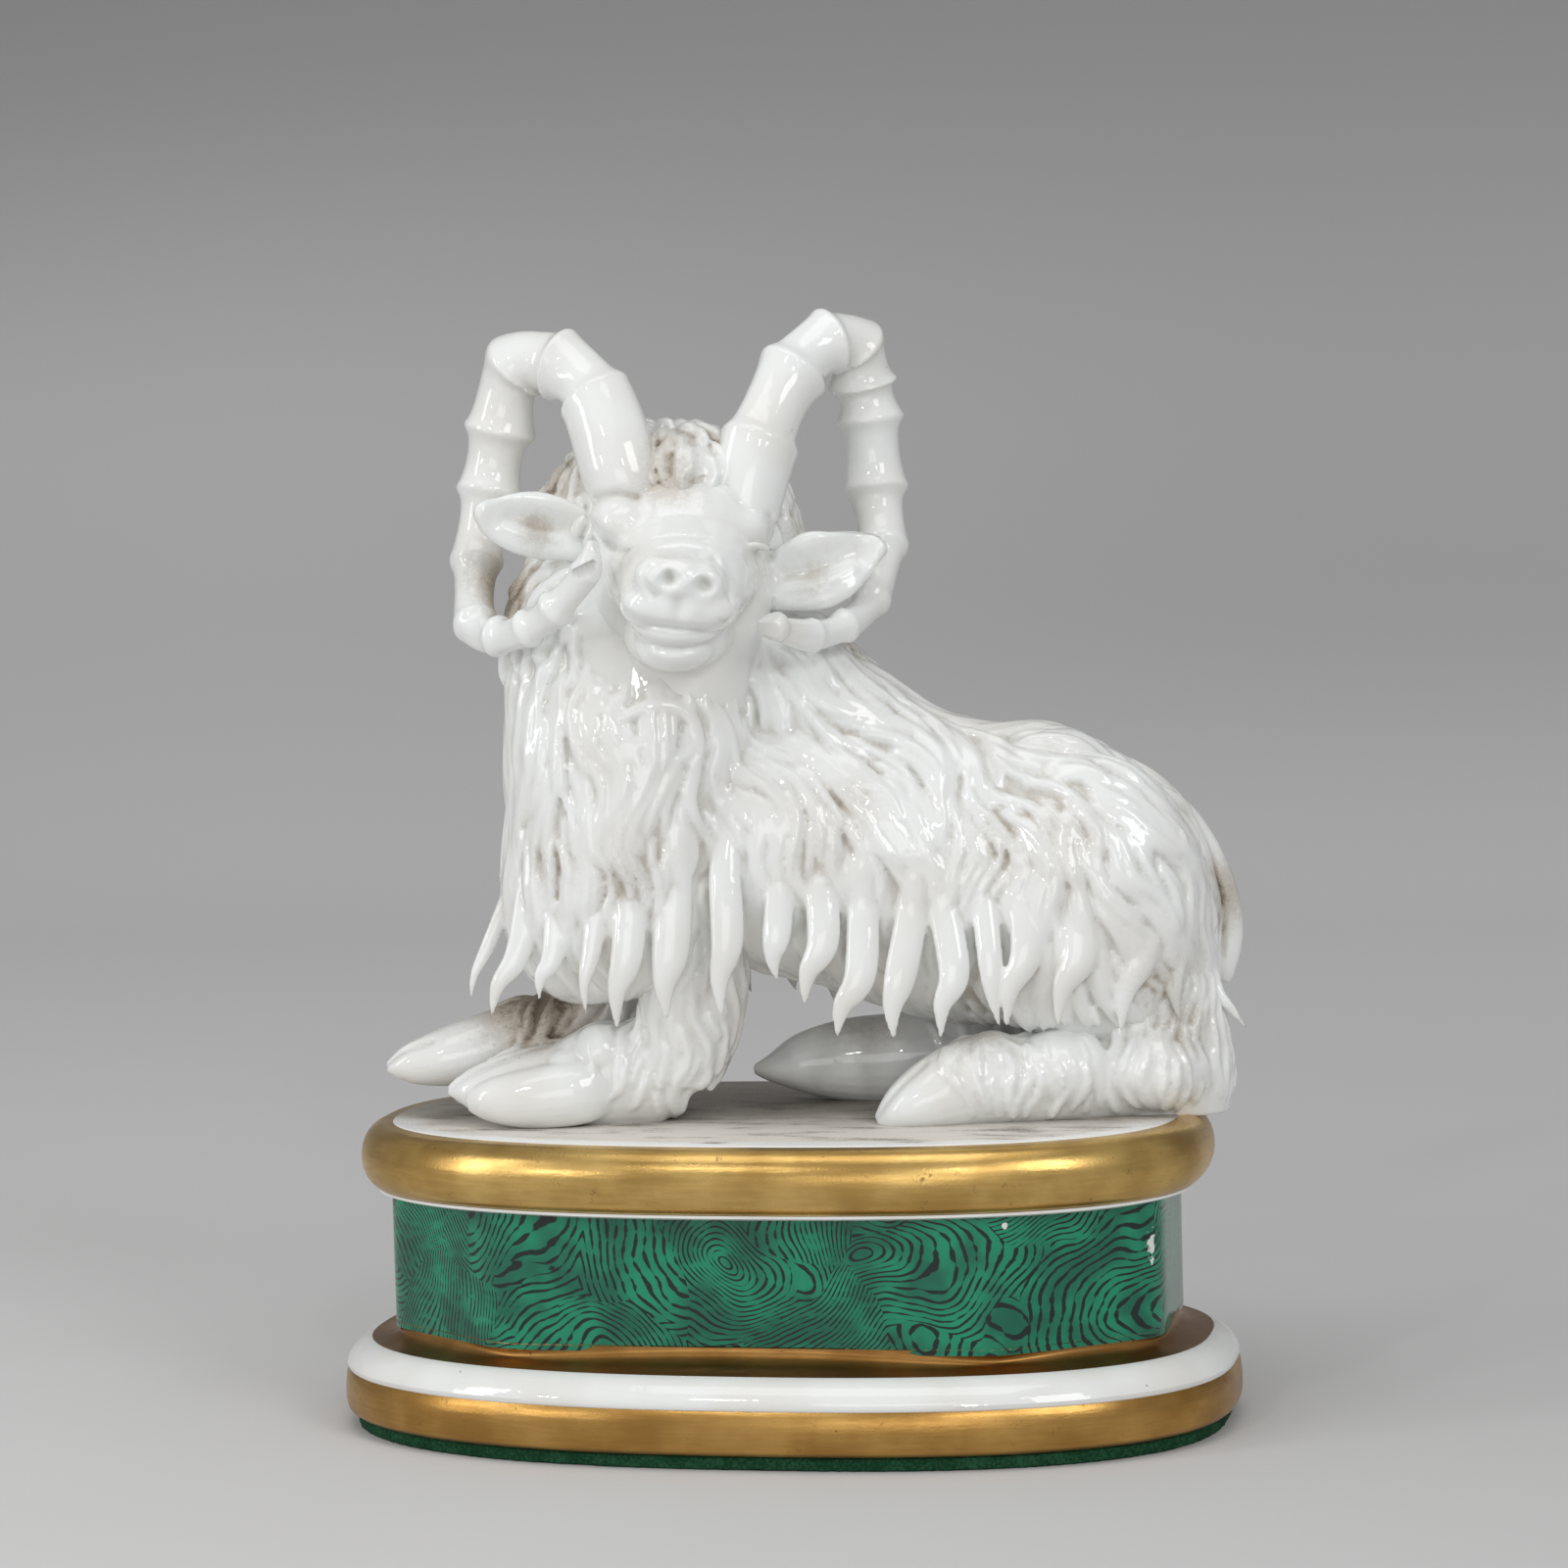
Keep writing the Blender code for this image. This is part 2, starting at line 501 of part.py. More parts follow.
def lay_tuft(body, skin, start, chance):
    """A pointed tuft that follows the skin from start, and lifts off it at the tip."""
    steps = 5
    length = TUFT_LENGTH * chance.uniform(0.75, 1.2)
    width = TUFT_WIDTH * chance.uniform(0.8, 1.15)
    swing = chance.uniform(-0.35, 0.35)
    centres, halves, normals = [], [], []
    here = start
    for i in range(steps + 1):
        spot, normal, _, _ = skin.find_nearest(here)
        if spot is None or spot.z < TUFT_END_Z:
            break
        share = i / steps
        centres.append(spot + normal * (TUFT_LIFT * share))
        swell = (0.6, 0.95, 1.0, 0.85, 0.55, 0.12)[i]
        halves.append((width * swell / 2, TUFT_THICKNESS * swell / 2))
        normals.append(normal)
        way = comb(spot, normal)
        across = normal.cross(way)
        here = spot + (way + across * (swing * math.cos(share * math.pi))) * (length / steps)
    if len(centres) == steps + 1:
        tube(body, centres, halves, normals, 6)


def lay_far_fringe(body, skin):
    """A row of locks on the side away from the face, hung from the skin there."""
    x = FAR_FRINGE_X[0]
    while x < FAR_FRINGE_X[1]:
        lean = FAR_FRINGE_LEAN * math.sin(x / FAR_FRINGE_LEAN)
        outside = Vector((x, 1.0, FAR_FRINGE_TOP))
        root = skin.ray_cast(outside, Vector((0, -1, 0)))[0]
        if root is not None:
            middle = root + Vector((0, FAR_FRINGE_SWELL, (FAR_FRINGE_TIP - FAR_FRINGE_TOP) / 2))
            tip = Vector((x + lean, middle.y, FAR_FRINGE_TIP))
            lock(body, root, middle, tip, FAR_FRINGE_HALF_WIDTH)
        x += FAR_FRINGE_SPACING


def tuft_roots(skin_object):
    """Spots on the skin at least TUFT_SPACING apart, taken in a seeded shuffle."""
    chance = random.Random(7)
    spots = [vertex.co.copy() for vertex in skin_object.data.vertices]
    chance.shuffle(spots)
    roots = []
    taken = {}
    for spot in spots:
        if spot.z < TUFT_LOWEST_Z or is_bare(spot):
            continue
        cell = tuple(math.floor(value / TUFT_SPACING) for value in spot)
        near = [
            other
            for dx in (-1, 0, 1) for dy in (-1, 0, 1) for dz in (-1, 0, 1)
            for other in taken.get((cell[0] + dx, cell[1] + dy, cell[2] + dz), ())
        ]
        if all((spot - other).length > TUFT_SPACING for other in near):
            roots.append(spot)
            taken.setdefault(cell, []).append(spot)
    return roots


def carve(piece, line, width, depth, towards):
    """Presses a groove along a line into the skin, where the skin faces the given way."""
    marks = np.array(smooth_path(line, 8) if len(line) > 1 else line)
    count = len(piece.data.vertices)
    places = np.empty(count * 3, dtype=np.float32)
    facing = np.empty(count * 3, dtype=np.float32)
    piece.data.vertices.foreach_get("co", places)
    piece.data.vertices.foreach_get("normal", facing)
    places = places.reshape(-1, 3)
    facing = facing.reshape(-1, 3) @ np.array(towards)
    gaps = np.min(np.linalg.norm(places[:, None, :] - marks[None, :, :], axis=2), axis=1)
    press = np.where(facing > -0.1, depth * np.exp(-(gaps / width) ** 2), 0.0)
    places -= press[:, None] * np.array(towards)
    piece.data.vertices.foreach_set("co", places.ravel())
    piece.data.update()


def voxel_skin(piece, size):
    remesh = piece.modifiers.new("Skin", "REMESH")
    remesh.mode = "VOXEL"
    remesh.voxel_size = size
    apply_modifiers(piece)


def thin_out(piece, triangles):
    thin = piece.modifiers.new("Thin out", "DECIMATE")
    thin.ratio = triangles / (2 * len(piece.data.polygons))
    thin.use_collapse_triangulate = True
    apply_modifiers(piece)


def model_body():
    """Trunk, neck, legs, wool, fringe and tail, as one closed skin in the ram's frame."""
    core = bmesh.new()
    for stations in (NECK, FORELEG_NEAR, FORELEG_FAR):
        limb(core, stations, up=Vector((0, 1, 0)))
    for stations in (TRUNK, WITHERS, HIND_NEAR, HIND_FAR, FOREFOOT_NEAR, FOREFOOT_FAR):
        limb(core, stations)
    for row in HAUNCHES:
        ball(core, *row)
    ball(core, *SKULL)
    base = object_from_bmesh("base", core)
    voxel_skin(base, BASE_VOXEL)
    skin = BVHTree.FromPolygons(
        [vertex.co for vertex in base.data.vertices],
        [face.vertices[:] for face in base.data.polygons],
    )

    wool = bmesh.new()
    wool.from_mesh(base.data)
    chance = random.Random(11)
    for root in tuft_roots(base):
        lay_tuft(wool, skin, root, chance)
    bpy.data.objects.remove(base)
    for root, middle, tip, half_width in FRINGE + BEARD:
        lock(wool, seat(skin, root), middle, tip, half_width)
    lay_far_fringe(wool, skin)
    dock, wide, high = TAIL[0]
    limb(wool, [(seat(skin, dock), wide, high)] + TAIL[1:], up=Vector((0, 1, 0)), sides=10)
    body = object_from_bmesh("body", wool)
    voxel_skin(body, BODY_VOXEL)
    for line in (CLEFT_FORE_NEAR, CLEFT_FORE_FAR, CLEFT_HIND_NEAR, CLEFT_HIND_FAR):
        carve(body, line, CREASE_WIDTH, HOOF_CLEFT, Vector((0, -0.5, 1)).normalized())
    thin_out(body, BODY_TRIANGLES)
    return body


def model_head():
    """Skull, face and ears, as one closed skin in the ram's frame."""
    clay = bmesh.new()
    limb(clay, FACE)
    ball(clay, *SKULL)
    for row in FACE_BALLS:
        ball(clay, *row)
    ear(clay, EAR_LEFT, EAR_LEFT_FACING)
    ear(clay, EAR_RIGHT, EAR_RIGHT_FACING)
    head = object_from_bmesh("head", clay)
    voxel_skin(head, HEAD_VOXEL)
    forward = Vector((0, -1, 0))
    for line in (MOUTH, LIP_CLEFT, CHIN_CREASE, EYE_LEFT, EYE_RIGHT):
        carve(head, line, CREASE_WIDTH, MOUTH_DEPTH, forward)
    for spot in NOSTRILS:
        carve(head, [spot], NOSTRIL_WIDTH, NOSTRIL_DEPTH, forward)
    carve(head, EAR_HOLLOW_LEFT, EAR_HOLLOW_WIDTH, EAR_HOLLOW, EAR_LEFT_FACING)
    carve(head, EAR_HOLLOW_RIGHT, EAR_HOLLOW_WIDTH, EAR_HOLLOW, EAR_RIGHT_FACING)
    thin_out(head, HEAD_TRIANGLES)
    return head


def model_horn(name, rings):
    clay = bmesh.new()
    ringed_horn(clay, rings)
    bmesh.ops.recalc_face_normals(clay, faces=clay.faces)
    return object_from_bmesh(name, clay)


def oval(half_length, half_width, z):
    """A loop round a blunt oval."""
    ring = []
    for i in range(PLINTH_SIDES):
        angle = 2 * math.pi * (i + 0.5) / PLINTH_SIDES
        x = math.copysign(abs(math.cos(angle)) ** (2 / OVAL_POWER), math.cos(angle))
        y = math.copysign(abs(math.sin(angle)) ** (2 / OVAL_POWER), math.sin(angle))
        ring.append(Vector((half_length * x, half_width * y, z)))
    return ring


def drum(half_length, half_width, z):
    """A loop round the eight-sided dado, with its corners softened."""
    corner_x = DADO_FRONT_LENGTH / 2
    corner_y = DADO_END_WIDTH / 2
    cant = Vector((half_width - corner_y, half_length - corner_x, 0)).normalized()
    cant_reach = cant.x * corner_x + cant.y * half_width
    ring = []
    for point in oval(half_length, half_width, z):
        way = Vector((abs(point.x), abs(point.y), 0)).normalized()
        sides = (way.x / half_length, way.y / half_width, way.dot(cant) / cant_reach)
        reach = sum(side ** DADO_CORNER_POWER for side in sides) ** (-1 / DADO_CORNER_POWER)
        ring.append(Vector((math.copysign(way.x * reach, point.x),
                            math.copysign(way.y * reach, point.y), z)))
    return ring


def model_plinth():
    """The plinth, from its foot to its flat top."""
    length = PLINTH_LENGTH / 2
    width = PLINTH_WIDTH / 2
    bottom = FELT_THICKNESS + GLUE_GAP
    rings = [
        oval(length - FOOT_ROUND, width - FOOT_ROUND, bottom),
        oval(length, width, bottom + FOOT_ROUND),
        oval(length, width, FOOT_TOP_Z - 2 * FOOT_ROUND),
        oval(length - 0.4 * FOOT_ROUND, width - 0.4 * FOOT_ROUND, FOOT_TOP_Z),
    ]
    for share, rise in ((0.30, 0.35), (0.75, 0.80), (1.0, 1.0)):
        inset = STEP_INSET * share
        z = FOOT_TOP_Z + (STEP_TOP_Z - FOOT_TOP_Z) * rise
        rings.append(oval(length - inset, width - inset, z))
    cove_height = DADO_BOTTOM_Z - STEP_TOP_Z
    for share, rise in ((0.45, 0.10), (0.8, 0.45)):
        inset = STEP_INSET + (DADO_INSET - STEP_INSET) * share
        round_ring = oval(length - inset, width - inset, STEP_TOP_Z + cove_height * rise)
        flat_ring = drum(length - inset, width - inset - DADO_SIDE_INSET,
                         STEP_TOP_Z + cove_height * rise)
        rings.append([a.lerp(b, share) for a, b in zip(round_ring, flat_ring)])
    dado_width = width - DADO_INSET - DADO_SIDE_INSET
    rings.append(drum(length - DADO_INSET, dado_width, DADO_BOTTOM_Z))
    rings.append(drum(length - DADO_INSET, dado_width, DADO_TOP_Z))
    torus_length = length - TORUS_INSET - TORUS_BULGE
    torus_width = width - TORUS_INSET - TORUS_BULGE
    turns = 8
    for i in range(turns + 1):
        angle = math.pi * (i / turns - 0.5)
        bulge = TORUS_BULGE * math.cos(angle) if i else 0.5 * TORUS_BULGE
        z = DADO_TOP_Z + TORUS_HEIGHT * (0.5 + 0.5 * math.sin(angle))
        rings.append(oval(torus_length + bulge, torus_width + bulge, z))
    body = bmesh.new()
    loft(body, rings)
    bmesh.ops.recalc_face_normals(body, faces=body.faces)
    return object_from_bmesh("ram_and_plinth", body)


def model_felt():
    inset = FOOT_ROUND + FELT_INSET
    body = bmesh.new()
    loft(body, [
        oval(PLINTH_LENGTH / 2 - inset, PLINTH_WIDTH / 2 - inset, 0.0),
        oval(PLINTH_LENGTH / 2 - inset, PLINTH_WIDTH / 2 - inset, FELT_THICKNESS),
    ])
    bmesh.ops.recalc_face_normals(body, faces=body.faces)
    return object_from_bmesh("felt_pad", body)


def main():
    clear_scene()
    figure = model_plinth()
    figure.data.materials.append(make_material("porcelain", (0.86, 0.87, 0.86), 0.12))
    place = (Matrix.Translation((0, 0, PLINTH_TOP_Z - RAM_SINK))
             @ Matrix.Rotation(RAM_TURN, 4, "Z"))
    for cast in (model_body(), model_head(), model_horn("horn_left", HORN_LEFT),
                 model_horn("horn_right", HORN_RIGHT)):
        cast.matrix_world = place
        cast.hide_render = True
        cast.display_type = "WIRE"
        join = figure.modifiers.new("Stuck on " + cast.name, "BOOLEAN")
        join.operation = "UNION"
        join.object = cast
        join.solver = "EXACT"

    felt = model_felt()
    felt.data.materials.append(make_material("felt", (0.01, 0.06, 0.03), 0.95))


main()
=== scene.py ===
# %% [markdown]
# # A glazed porcelain ram on a gilt plinth
#
# The ram and its plinth are slip-cast porcelain, stuck together wet, glazed white and fired.
# Gilding and a green stone pattern were then laid on the plinth, and felt was glued under it.
# The solid model gives the true sizes. This lesson models the wool, the face and the
# mouldings as finely as the clay shows them, and gives each finish its colour and gloss.

# %% Load the solid model
import json
import math
import random

import bpy
import numpy as np
from mathutils import Matrix, Vector
from mathutils.bvhtree import BVHTree

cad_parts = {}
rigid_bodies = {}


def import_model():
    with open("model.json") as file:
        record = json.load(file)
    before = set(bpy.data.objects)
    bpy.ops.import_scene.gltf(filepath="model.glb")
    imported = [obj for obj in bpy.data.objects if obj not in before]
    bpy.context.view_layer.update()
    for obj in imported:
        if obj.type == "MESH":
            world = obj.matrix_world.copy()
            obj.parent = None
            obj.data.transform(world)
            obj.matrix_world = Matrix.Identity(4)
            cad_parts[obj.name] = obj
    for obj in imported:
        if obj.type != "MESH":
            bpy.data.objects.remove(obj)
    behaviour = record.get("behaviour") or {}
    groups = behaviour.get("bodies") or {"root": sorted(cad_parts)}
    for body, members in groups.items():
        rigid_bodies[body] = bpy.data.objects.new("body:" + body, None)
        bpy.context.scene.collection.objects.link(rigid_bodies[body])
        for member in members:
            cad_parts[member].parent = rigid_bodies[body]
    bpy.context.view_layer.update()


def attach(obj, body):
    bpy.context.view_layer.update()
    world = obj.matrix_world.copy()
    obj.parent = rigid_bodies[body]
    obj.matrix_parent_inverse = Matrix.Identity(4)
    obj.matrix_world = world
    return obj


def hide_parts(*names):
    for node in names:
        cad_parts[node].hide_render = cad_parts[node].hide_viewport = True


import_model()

# %% [markdown]
# ## The camera
#
# A camera could be turned by eye until the render matches. Here its place was worked out
# from the outlines of the plinth's mouldings, which are flat ovals of known height, so the
# same place serves for measuring. It stands a metre away, as high as the horns.

# %% Place the camera
CAMERA_PLACE = Vector((0.2110, -0.9775, 0.2154))
CAMERA_FORWARD = Vector((-0.2085, 0.9752, -0.0746)).normalized()
CAMERA_RIGHT = Vector((0.9779, 0.2070, -0.0277)).normalized()
LENS_MM = 104.3
SENSOR_MM = 36.0

bpy.ops.object.select_all(action="DESELECT")
bpy.ops.object.camera_add()
camera = bpy.context.object
camera_up = CAMERA_RIGHT.cross(CAMERA_FORWARD)
turn = Matrix((CAMERA_RIGHT, camera_up, -CAMERA_FORWARD)).transposed()
camera.matrix_world = Matrix.Translation(CAMERA_PLACE) @ turn.to_4x4()
camera.data.lens = LENS_MM
camera.data.sensor_width = SENSOR_MM
bpy.context.scene.camera = camera
print("camera looks along", [round(value, 3) for value in CAMERA_FORWARD])

# %% [markdown]
# ## Shader maths in Python
#
# A finish could be wired by hand in the node editor. Written as expressions it is shorter
# and can be read like a sentence: `Signal` wraps a socket so that sums on it add Math
# nodes, and `Finish` holds a material and adds any other node with one method.

# %% Wrap sockets and materials


class Signal:
    """A shader socket that can stand in a Python expression."""

    def __init__(self, finish, socket):
        self.finish = finish
        self.socket = socket

    def reckon(self, operation, first, second=0.0):
        return self.finish.node("ShaderNodeMath", {0: first, 1: second}, operation=operation)

    def __add__(self, other):
        return self.reckon("ADD", self, other)

    def __radd__(self, other):
        return self.reckon("ADD", other, self)

    def __sub__(self, other):
        return self.reckon("SUBTRACT", self, other)

    def __rsub__(self, other):
        return self.reckon("SUBTRACT", other, self)

    def __mul__(self, other):
        return self.reckon("MULTIPLY", self, other)

    def __rmul__(self, other):
        return self.reckon("MULTIPLY", other, self)

    def __abs__(self):
        return self.reckon("ABSOLUTE", self)


class Finish:
    """A material with a Principled shader, and a method that adds any other node."""

    def __init__(self, name, **constants):
        self.material = bpy.data.materials.new(name)
        self.material.use_nodes = True
        self.tree = self.material.node_tree
        self.shader = self.tree.nodes["Principled BSDF"]
        self.set(**constants)

    def set(self, **values):
        """Gives the shader's sockets their values: Coat_Weight stands for Coat Weight."""
        for name, value in values.items():
            self.feed(value, self.shader.inputs[name.replace("_", " ")])

    def feed(self, value, socket):
        if isinstance(value, Signal):
            self.tree.links.new(value.socket, socket)
        elif socket.type == "RGBA":
            socket.default_value = (*value[:3], 1.0)
        else:
            socket.default_value = value

    def node(self, kind, sockets, output=0, **settings):
        made = self.tree.nodes.new(kind)
        for name, value in settings.items():
            setattr(made, name, value)
        for key, value in sockets.items():
            self.feed(value, made.inputs[key])
        return Signal(self, made.outputs[output])

    def place(self, output="Object"):
        return self.node("ShaderNodeTexCoord", {}, output)

    def stretch(self, place, scale, turned=(0.0, 0.0, 0.0)):
        return self.node("ShaderNodeMapping", {"Vector": place, "Scale": scale, "Rotation": turned})

    def noise(self, place, size, detail=2.0, output="Fac"):
        """Cloudy noise whose blobs are about size metres across."""
        sockets = {"Vector": place, "Scale": 1.0 / size, "Detail": detail}
        return self.node("ShaderNodeTexNoise", sockets, output)

    def rise(self, signal, low, high):
        """0 below low, 1 above high, and a smooth step between them."""
        sockets = {"Value": signal, "From Min": low, "From Max": high}
        return self.node("ShaderNodeMapRange", sockets, interpolation_type="SMOOTHSTEP")

    def blend(self, share, first, second):
        return self.node("ShaderNodeMix", {0: share, 6: first, 7: second}, 2, data_type="RGBA")

    def bump(self, height, depth, strength=1.0):
        sockets = {"Height": height, "Distance": depth, "Strength": strength}
        return self.node("ShaderNodeBump", sockets)

    def specks(self, place, spacing, radius):
        """Round dots of about that radius, one to each cell of a Voronoi pattern."""
        distance = self.node("ShaderNodeTexVoronoi", {"Vector": place, "Scale": 1.0 / spacing})
        return 1.0 - self.rise(distance, 0.6 * radius / spacing, radius / spacing)


print("shader helpers ready")

# %% [markdown]
# ## Glazed porcelain
#
# The glaze is a clear glass over a white body, so it is smooth and bright, and brown dust
# has settled in its hollows. Painting the dust as a texture would need an image. A number
# on each vertex, called Dust, says how dusty the clay is there, and noise breaks it up; at
# the far hind hoof it paints shade. A second number, Hollow, paints shade grey into the
# creases.

# %% Mix the porcelain
GLAZE_WHITE = (0.845, 0.86, 0.85)
GLAZE_WARM = (0.79, 0.785, 0.755)
HOLLOW_PAINTED_SHADE = (0.56, 0.545, 0.50)
PALE_DUST_AND_SHADE = (0.36, 0.30, 0.22)
DEEP_DUST_AND_SHADE = (0.12, 0.09, 0.058)
IRON_SPECK = (0.09, 0.08, 0.07)


def mix_porcelain():
    glaze = Finish("porcelain", IOR=1.52)
    place = glaze.place()
    dust = glaze.node("ShaderNodeAttribute", {}, "Fac", attribute_name="Dust")
    hollow = glaze.node("ShaderNodeAttribute", {}, "Fac", attribute_name="Hollow")
    cloud = glaze.noise(place, 0.018, 1.0)
    grit = glaze.noise(place, 0.0013, 3.0) - 0.5
    fine = glaze.noise(place, 0.00045, 1.0) - 0.5
    body = glaze.blend(glaze.rise(cloud, 0.38, 0.72), GLAZE_WHITE, GLAZE_WARM)
    # Painted shade: the hollows of the wool and the face are painted grey.
    body = glaze.blend(hollow * 0.55, body, HOLLOW_PAINTED_SHADE)
    # At the far hind hoof the Dust number paints shade, so there these dust colours are painted shade.
    film = glaze.rise(dust + grit * 0.35 + fine * 0.25, 0.06, 0.95)
    deep = glaze.rise(dust + grit * 0.9 + fine * 0.8, 0.75, 1.50)
    colour = glaze.blend(film * 0.85, body, PALE_DUST_AND_SHADE)
    colour = glaze.blend(deep * 0.9, colour, DEEP_DUST_AND_SHADE)
    dot = glaze.specks(place, 0.0125, 0.00026)
    colour = glaze.blend(dot * 0.8, colour, IRON_SPECK)
    skin = glaze.noise(place, 0.0026, 1.0)
    glaze.set(
        Base_Color=colour,
        Roughness=0.035 + film * 0.40,
        Normal=glaze.bump(skin + fine * film, 0.00005),
    )
    return glaze.material


porcelain = mix_porcelain()
print("mixed", porcelain.name)

# %% [markdown]
# ## Burnished gilding
#
# Fired gold is a metal film a few thousandths of a millimetre thick. It was rubbed along
# the mouldings, so its gloss runs in level streaks, and it has worn and pitted a little. A
# plain yellow would look like paint, so it is fully metallic with a streaky roughness.

# %% Mix the gilding
GOLD_LIGHT = (0.74, 0.50, 0.175)
GOLD_DEEP = (0.50, 0.31, 0.095)
GOLD_SOIL = (0.10, 0.055, 0.018)


def mix_gilding(name, worn=0.0, painted_shade=(1.0, 1.0, 1.0)):
    gold = Finish(name)
    light = [value * share for value, share in zip(GOLD_LIGHT, painted_shade)]
    deep = [value * share for value, share in zip(GOLD_DEEP, painted_shade)]
    place = gold.place()
    streaks = gold.noise(gold.stretch(place, (0.25, 0.25, 3.0)), 0.0024, 4.0)
    clouds = gold.noise(place, 0.016, 3.0)
    grain = gold.noise(place, 0.0006, 2.0)
    tone = gold.rise(clouds + (streaks - 0.5) * 0.3, 0.30, 0.72)
    colour = gold.blend(tone, deep, light)
    soil = gold.rise(gold.noise(place, 0.0032, 4.0) + (grain - 0.5) * 0.5, 0.66, 0.82)
    colour = gold.blend(soil * 0.45, colour, GOLD_SOIL)
    pits = gold.specks(place, 0.0085, 0.00032)
    fleck = gold.specks(gold.stretch(place, (1.0, 1.0, 1.4)), 0.046, 0.0008)
    fleck = fleck * gold.rise(clouds, 0.5, 0.56)
    colour = gold.blend(pits * 0.55, colour, GOLD_SOIL)
    colour = gold.blend(fleck, colour, GLAZE_WARM)
    gold.set(
        Base_Color=colour,
        Metallic=1.0 - fleck,
        Roughness=0.22 + worn + (1.0 - streaks) * 0.08 + soil * 0.2 + grain * 0.06,
        Normal=gold.bump(streaks * 0.6 + grain * 0.4 - pits - fleck, 0.00006),
    )
    return gold.material


gilding = mix_gilding("gilding")
# Painted shade and reflection: the foot and the cove are copies of the gilding painted darker and redder,
# as they face down away from the lamps and mirror the gold beside them.
foot_gilding = mix_gilding("gilding_foot", 0.02, (0.77, 0.67, 0.58))
cove_gilding = mix_gilding("gilding_cove", 0.06, (0.53, 0.42, 0.37))
print("mixed", gilding.name, foot_gilding.name, cove_gilding.name)

# %% [markdown]
# ## The green band
#
# The band imitates polished malachite: thin black lines, about a millimetre apart, run in
# bundles that meet at sharp joints, and here and there they ring an eye. A Voronoi pattern
# cuts the band into patches, its random colour gives each patch the direction of its lines,
# and the distance to the patch's middle makes the rings. A UV map in metres, round the
# band and up it, keeps the lines the same width on all eight sides. In two places the green
# has chipped off, which leaves a white spot.

# %% Mix the green stone pattern
STONE_BRIGHT = (0.006, 0.265, 0.140)
STONE_DEEP = (0.004, 0.120, 0.070)
STONE_LINE = (0.004, 0.014, 0.012)
LINE_SPACING = 0.00120
PATCH_SIZE = 0.024
ARC_SIZE = 0.040
STONE_CHIPS = [    # how much its height counts, its place with that share of its height, its radius
    (0.40, (0.0848, -0.0222, 0.0171), 0.0014),
    (1.0, (0.0562, -0.0430, 0.0500), 0.0006),
]


def mix_stone():
    stone = Finish("green_stone", IOR=1.5)
    around = stone.place("UV")
    sway = stone.noise(around, 0.027, 1.0, "Color")
    sway = stone.node("ShaderNodeVectorMath", {0: sway, 1: (0.5, 0.5, 0.5)}, operation="SUBTRACT")
    sway = stone.node("ShaderNodeVectorMath", {0: sway, 3: 0.020}, operation="SCALE")
    bent = stone.node("ShaderNodeVectorMath", {0: around, 1: sway}, operation="ADD")
    cells = {"Vector": bent, "Scale": 1.0 / PATCH_SIZE, "Randomness": 0.85}
    middle = stone.node("ShaderNodeTexVoronoi", cells, "Distance")
    chance = stone.node("ShaderNodeTexVoronoi", cells, "Color")
    flowing = stone.stretch(bent, (0.55, 1.0, 1.0))
    wide_cells = {"Vector": flowing, "Scale": 1.0 / ARC_SIZE, "Randomness": 1.0}
    arc = stone.node("ShaderNodeTexVoronoi", wide_cells, "Distance")
    parts = {key: stone.node("ShaderNodeSeparateColor", {0: chance}, key) for key in ("Red", "Green")}
    angle = parts["Red"] * math.pi
    flat = {key: stone.node("ShaderNodeSeparateXYZ", {0: bent}, key) for key in ("X", "Y")}
    along = (flat["X"] * stone.node("ShaderNodeMath", {0: angle}, operation="COSINE")
             + flat["Y"] * stone.node("ShaderNodeMath", {0: angle}, operation="SINE"))
    ringed = stone.rise(parts["Green"], 0.80, 0.82)
    arched = stone.rise(parts["Green"], 0.32, 0.34)
    travel = along * (1.0 - arched) + arc * ARC_SIZE * arched
    travel = travel * (1.0 - ringed) + middle * PATCH_SIZE * ringed
    ripple = stone.noise(around, 0.0065, 1.0) * 0.0011
    phase = (travel + ripple) * (1.0 / LINE_SPACING)
    saw = abs(stone.node("ShaderNodeMath", {0: phase}, operation="FRACT") - 0.5)
    breaks = stone.noise(stone.stretch(around, (1.0, 2.0, 1.0)), 0.0045, 1.0)
    thick = stone.rise(breaks, 0.24, 0.60) * 0.20
    line = 1.0 - stone.rise(saw - thick, -0.035, 0.035)
    cloud = stone.noise(around, 0.011, 2.0)
    base = stone.blend(stone.rise(cloud, 0.32, 0.68), STONE_DEEP, STONE_BRIGHT)
    colour = stone.blend(line, base, STONE_LINE)
    place = stone.place()
    ragged = (stone.noise(place, 0.0016, 3.0) - 0.5) * 0.0030
    for share, middle, reach in STONE_CHIPS:
        ends = {0: stone.stretch(place, (1.0, 1.0, share)), 1: middle}
        gap = stone.node("ShaderNodeVectorMath", ends, "Value", operation="DISTANCE")
        outside = stone.rise(gap + ragged * (reach / 0.0014), reach, reach + 0.0002)
        colour = stone.blend(1.0 - outside, colour, GLAZE_WARM)
    stone.set(
        Base_Color=colour,
        Roughness=0.10 + cloud * 0.08,
        Normal=stone.bump(stone.noise(around, 0.004, 2.0), 0.00004),
    )
    return stone.material


green_stone = mix_stone()
print("mixed", green_stone.name)

# %% [markdown]
# ## The dusty top and the felt
#
# The plinth's flat top is white glaze that lies under the ram, where no cloth reaches, so
# grey-brown dust covers all but its front edge. The dust is painted pale at the front, as
# painted light and reflection of the white hooves, and dark brown at the back, as painted
# shade under the body. The white front edge is clean glaze and a painted highlight along the
# rounded rim. The felt is dark green wool, matt and furry.

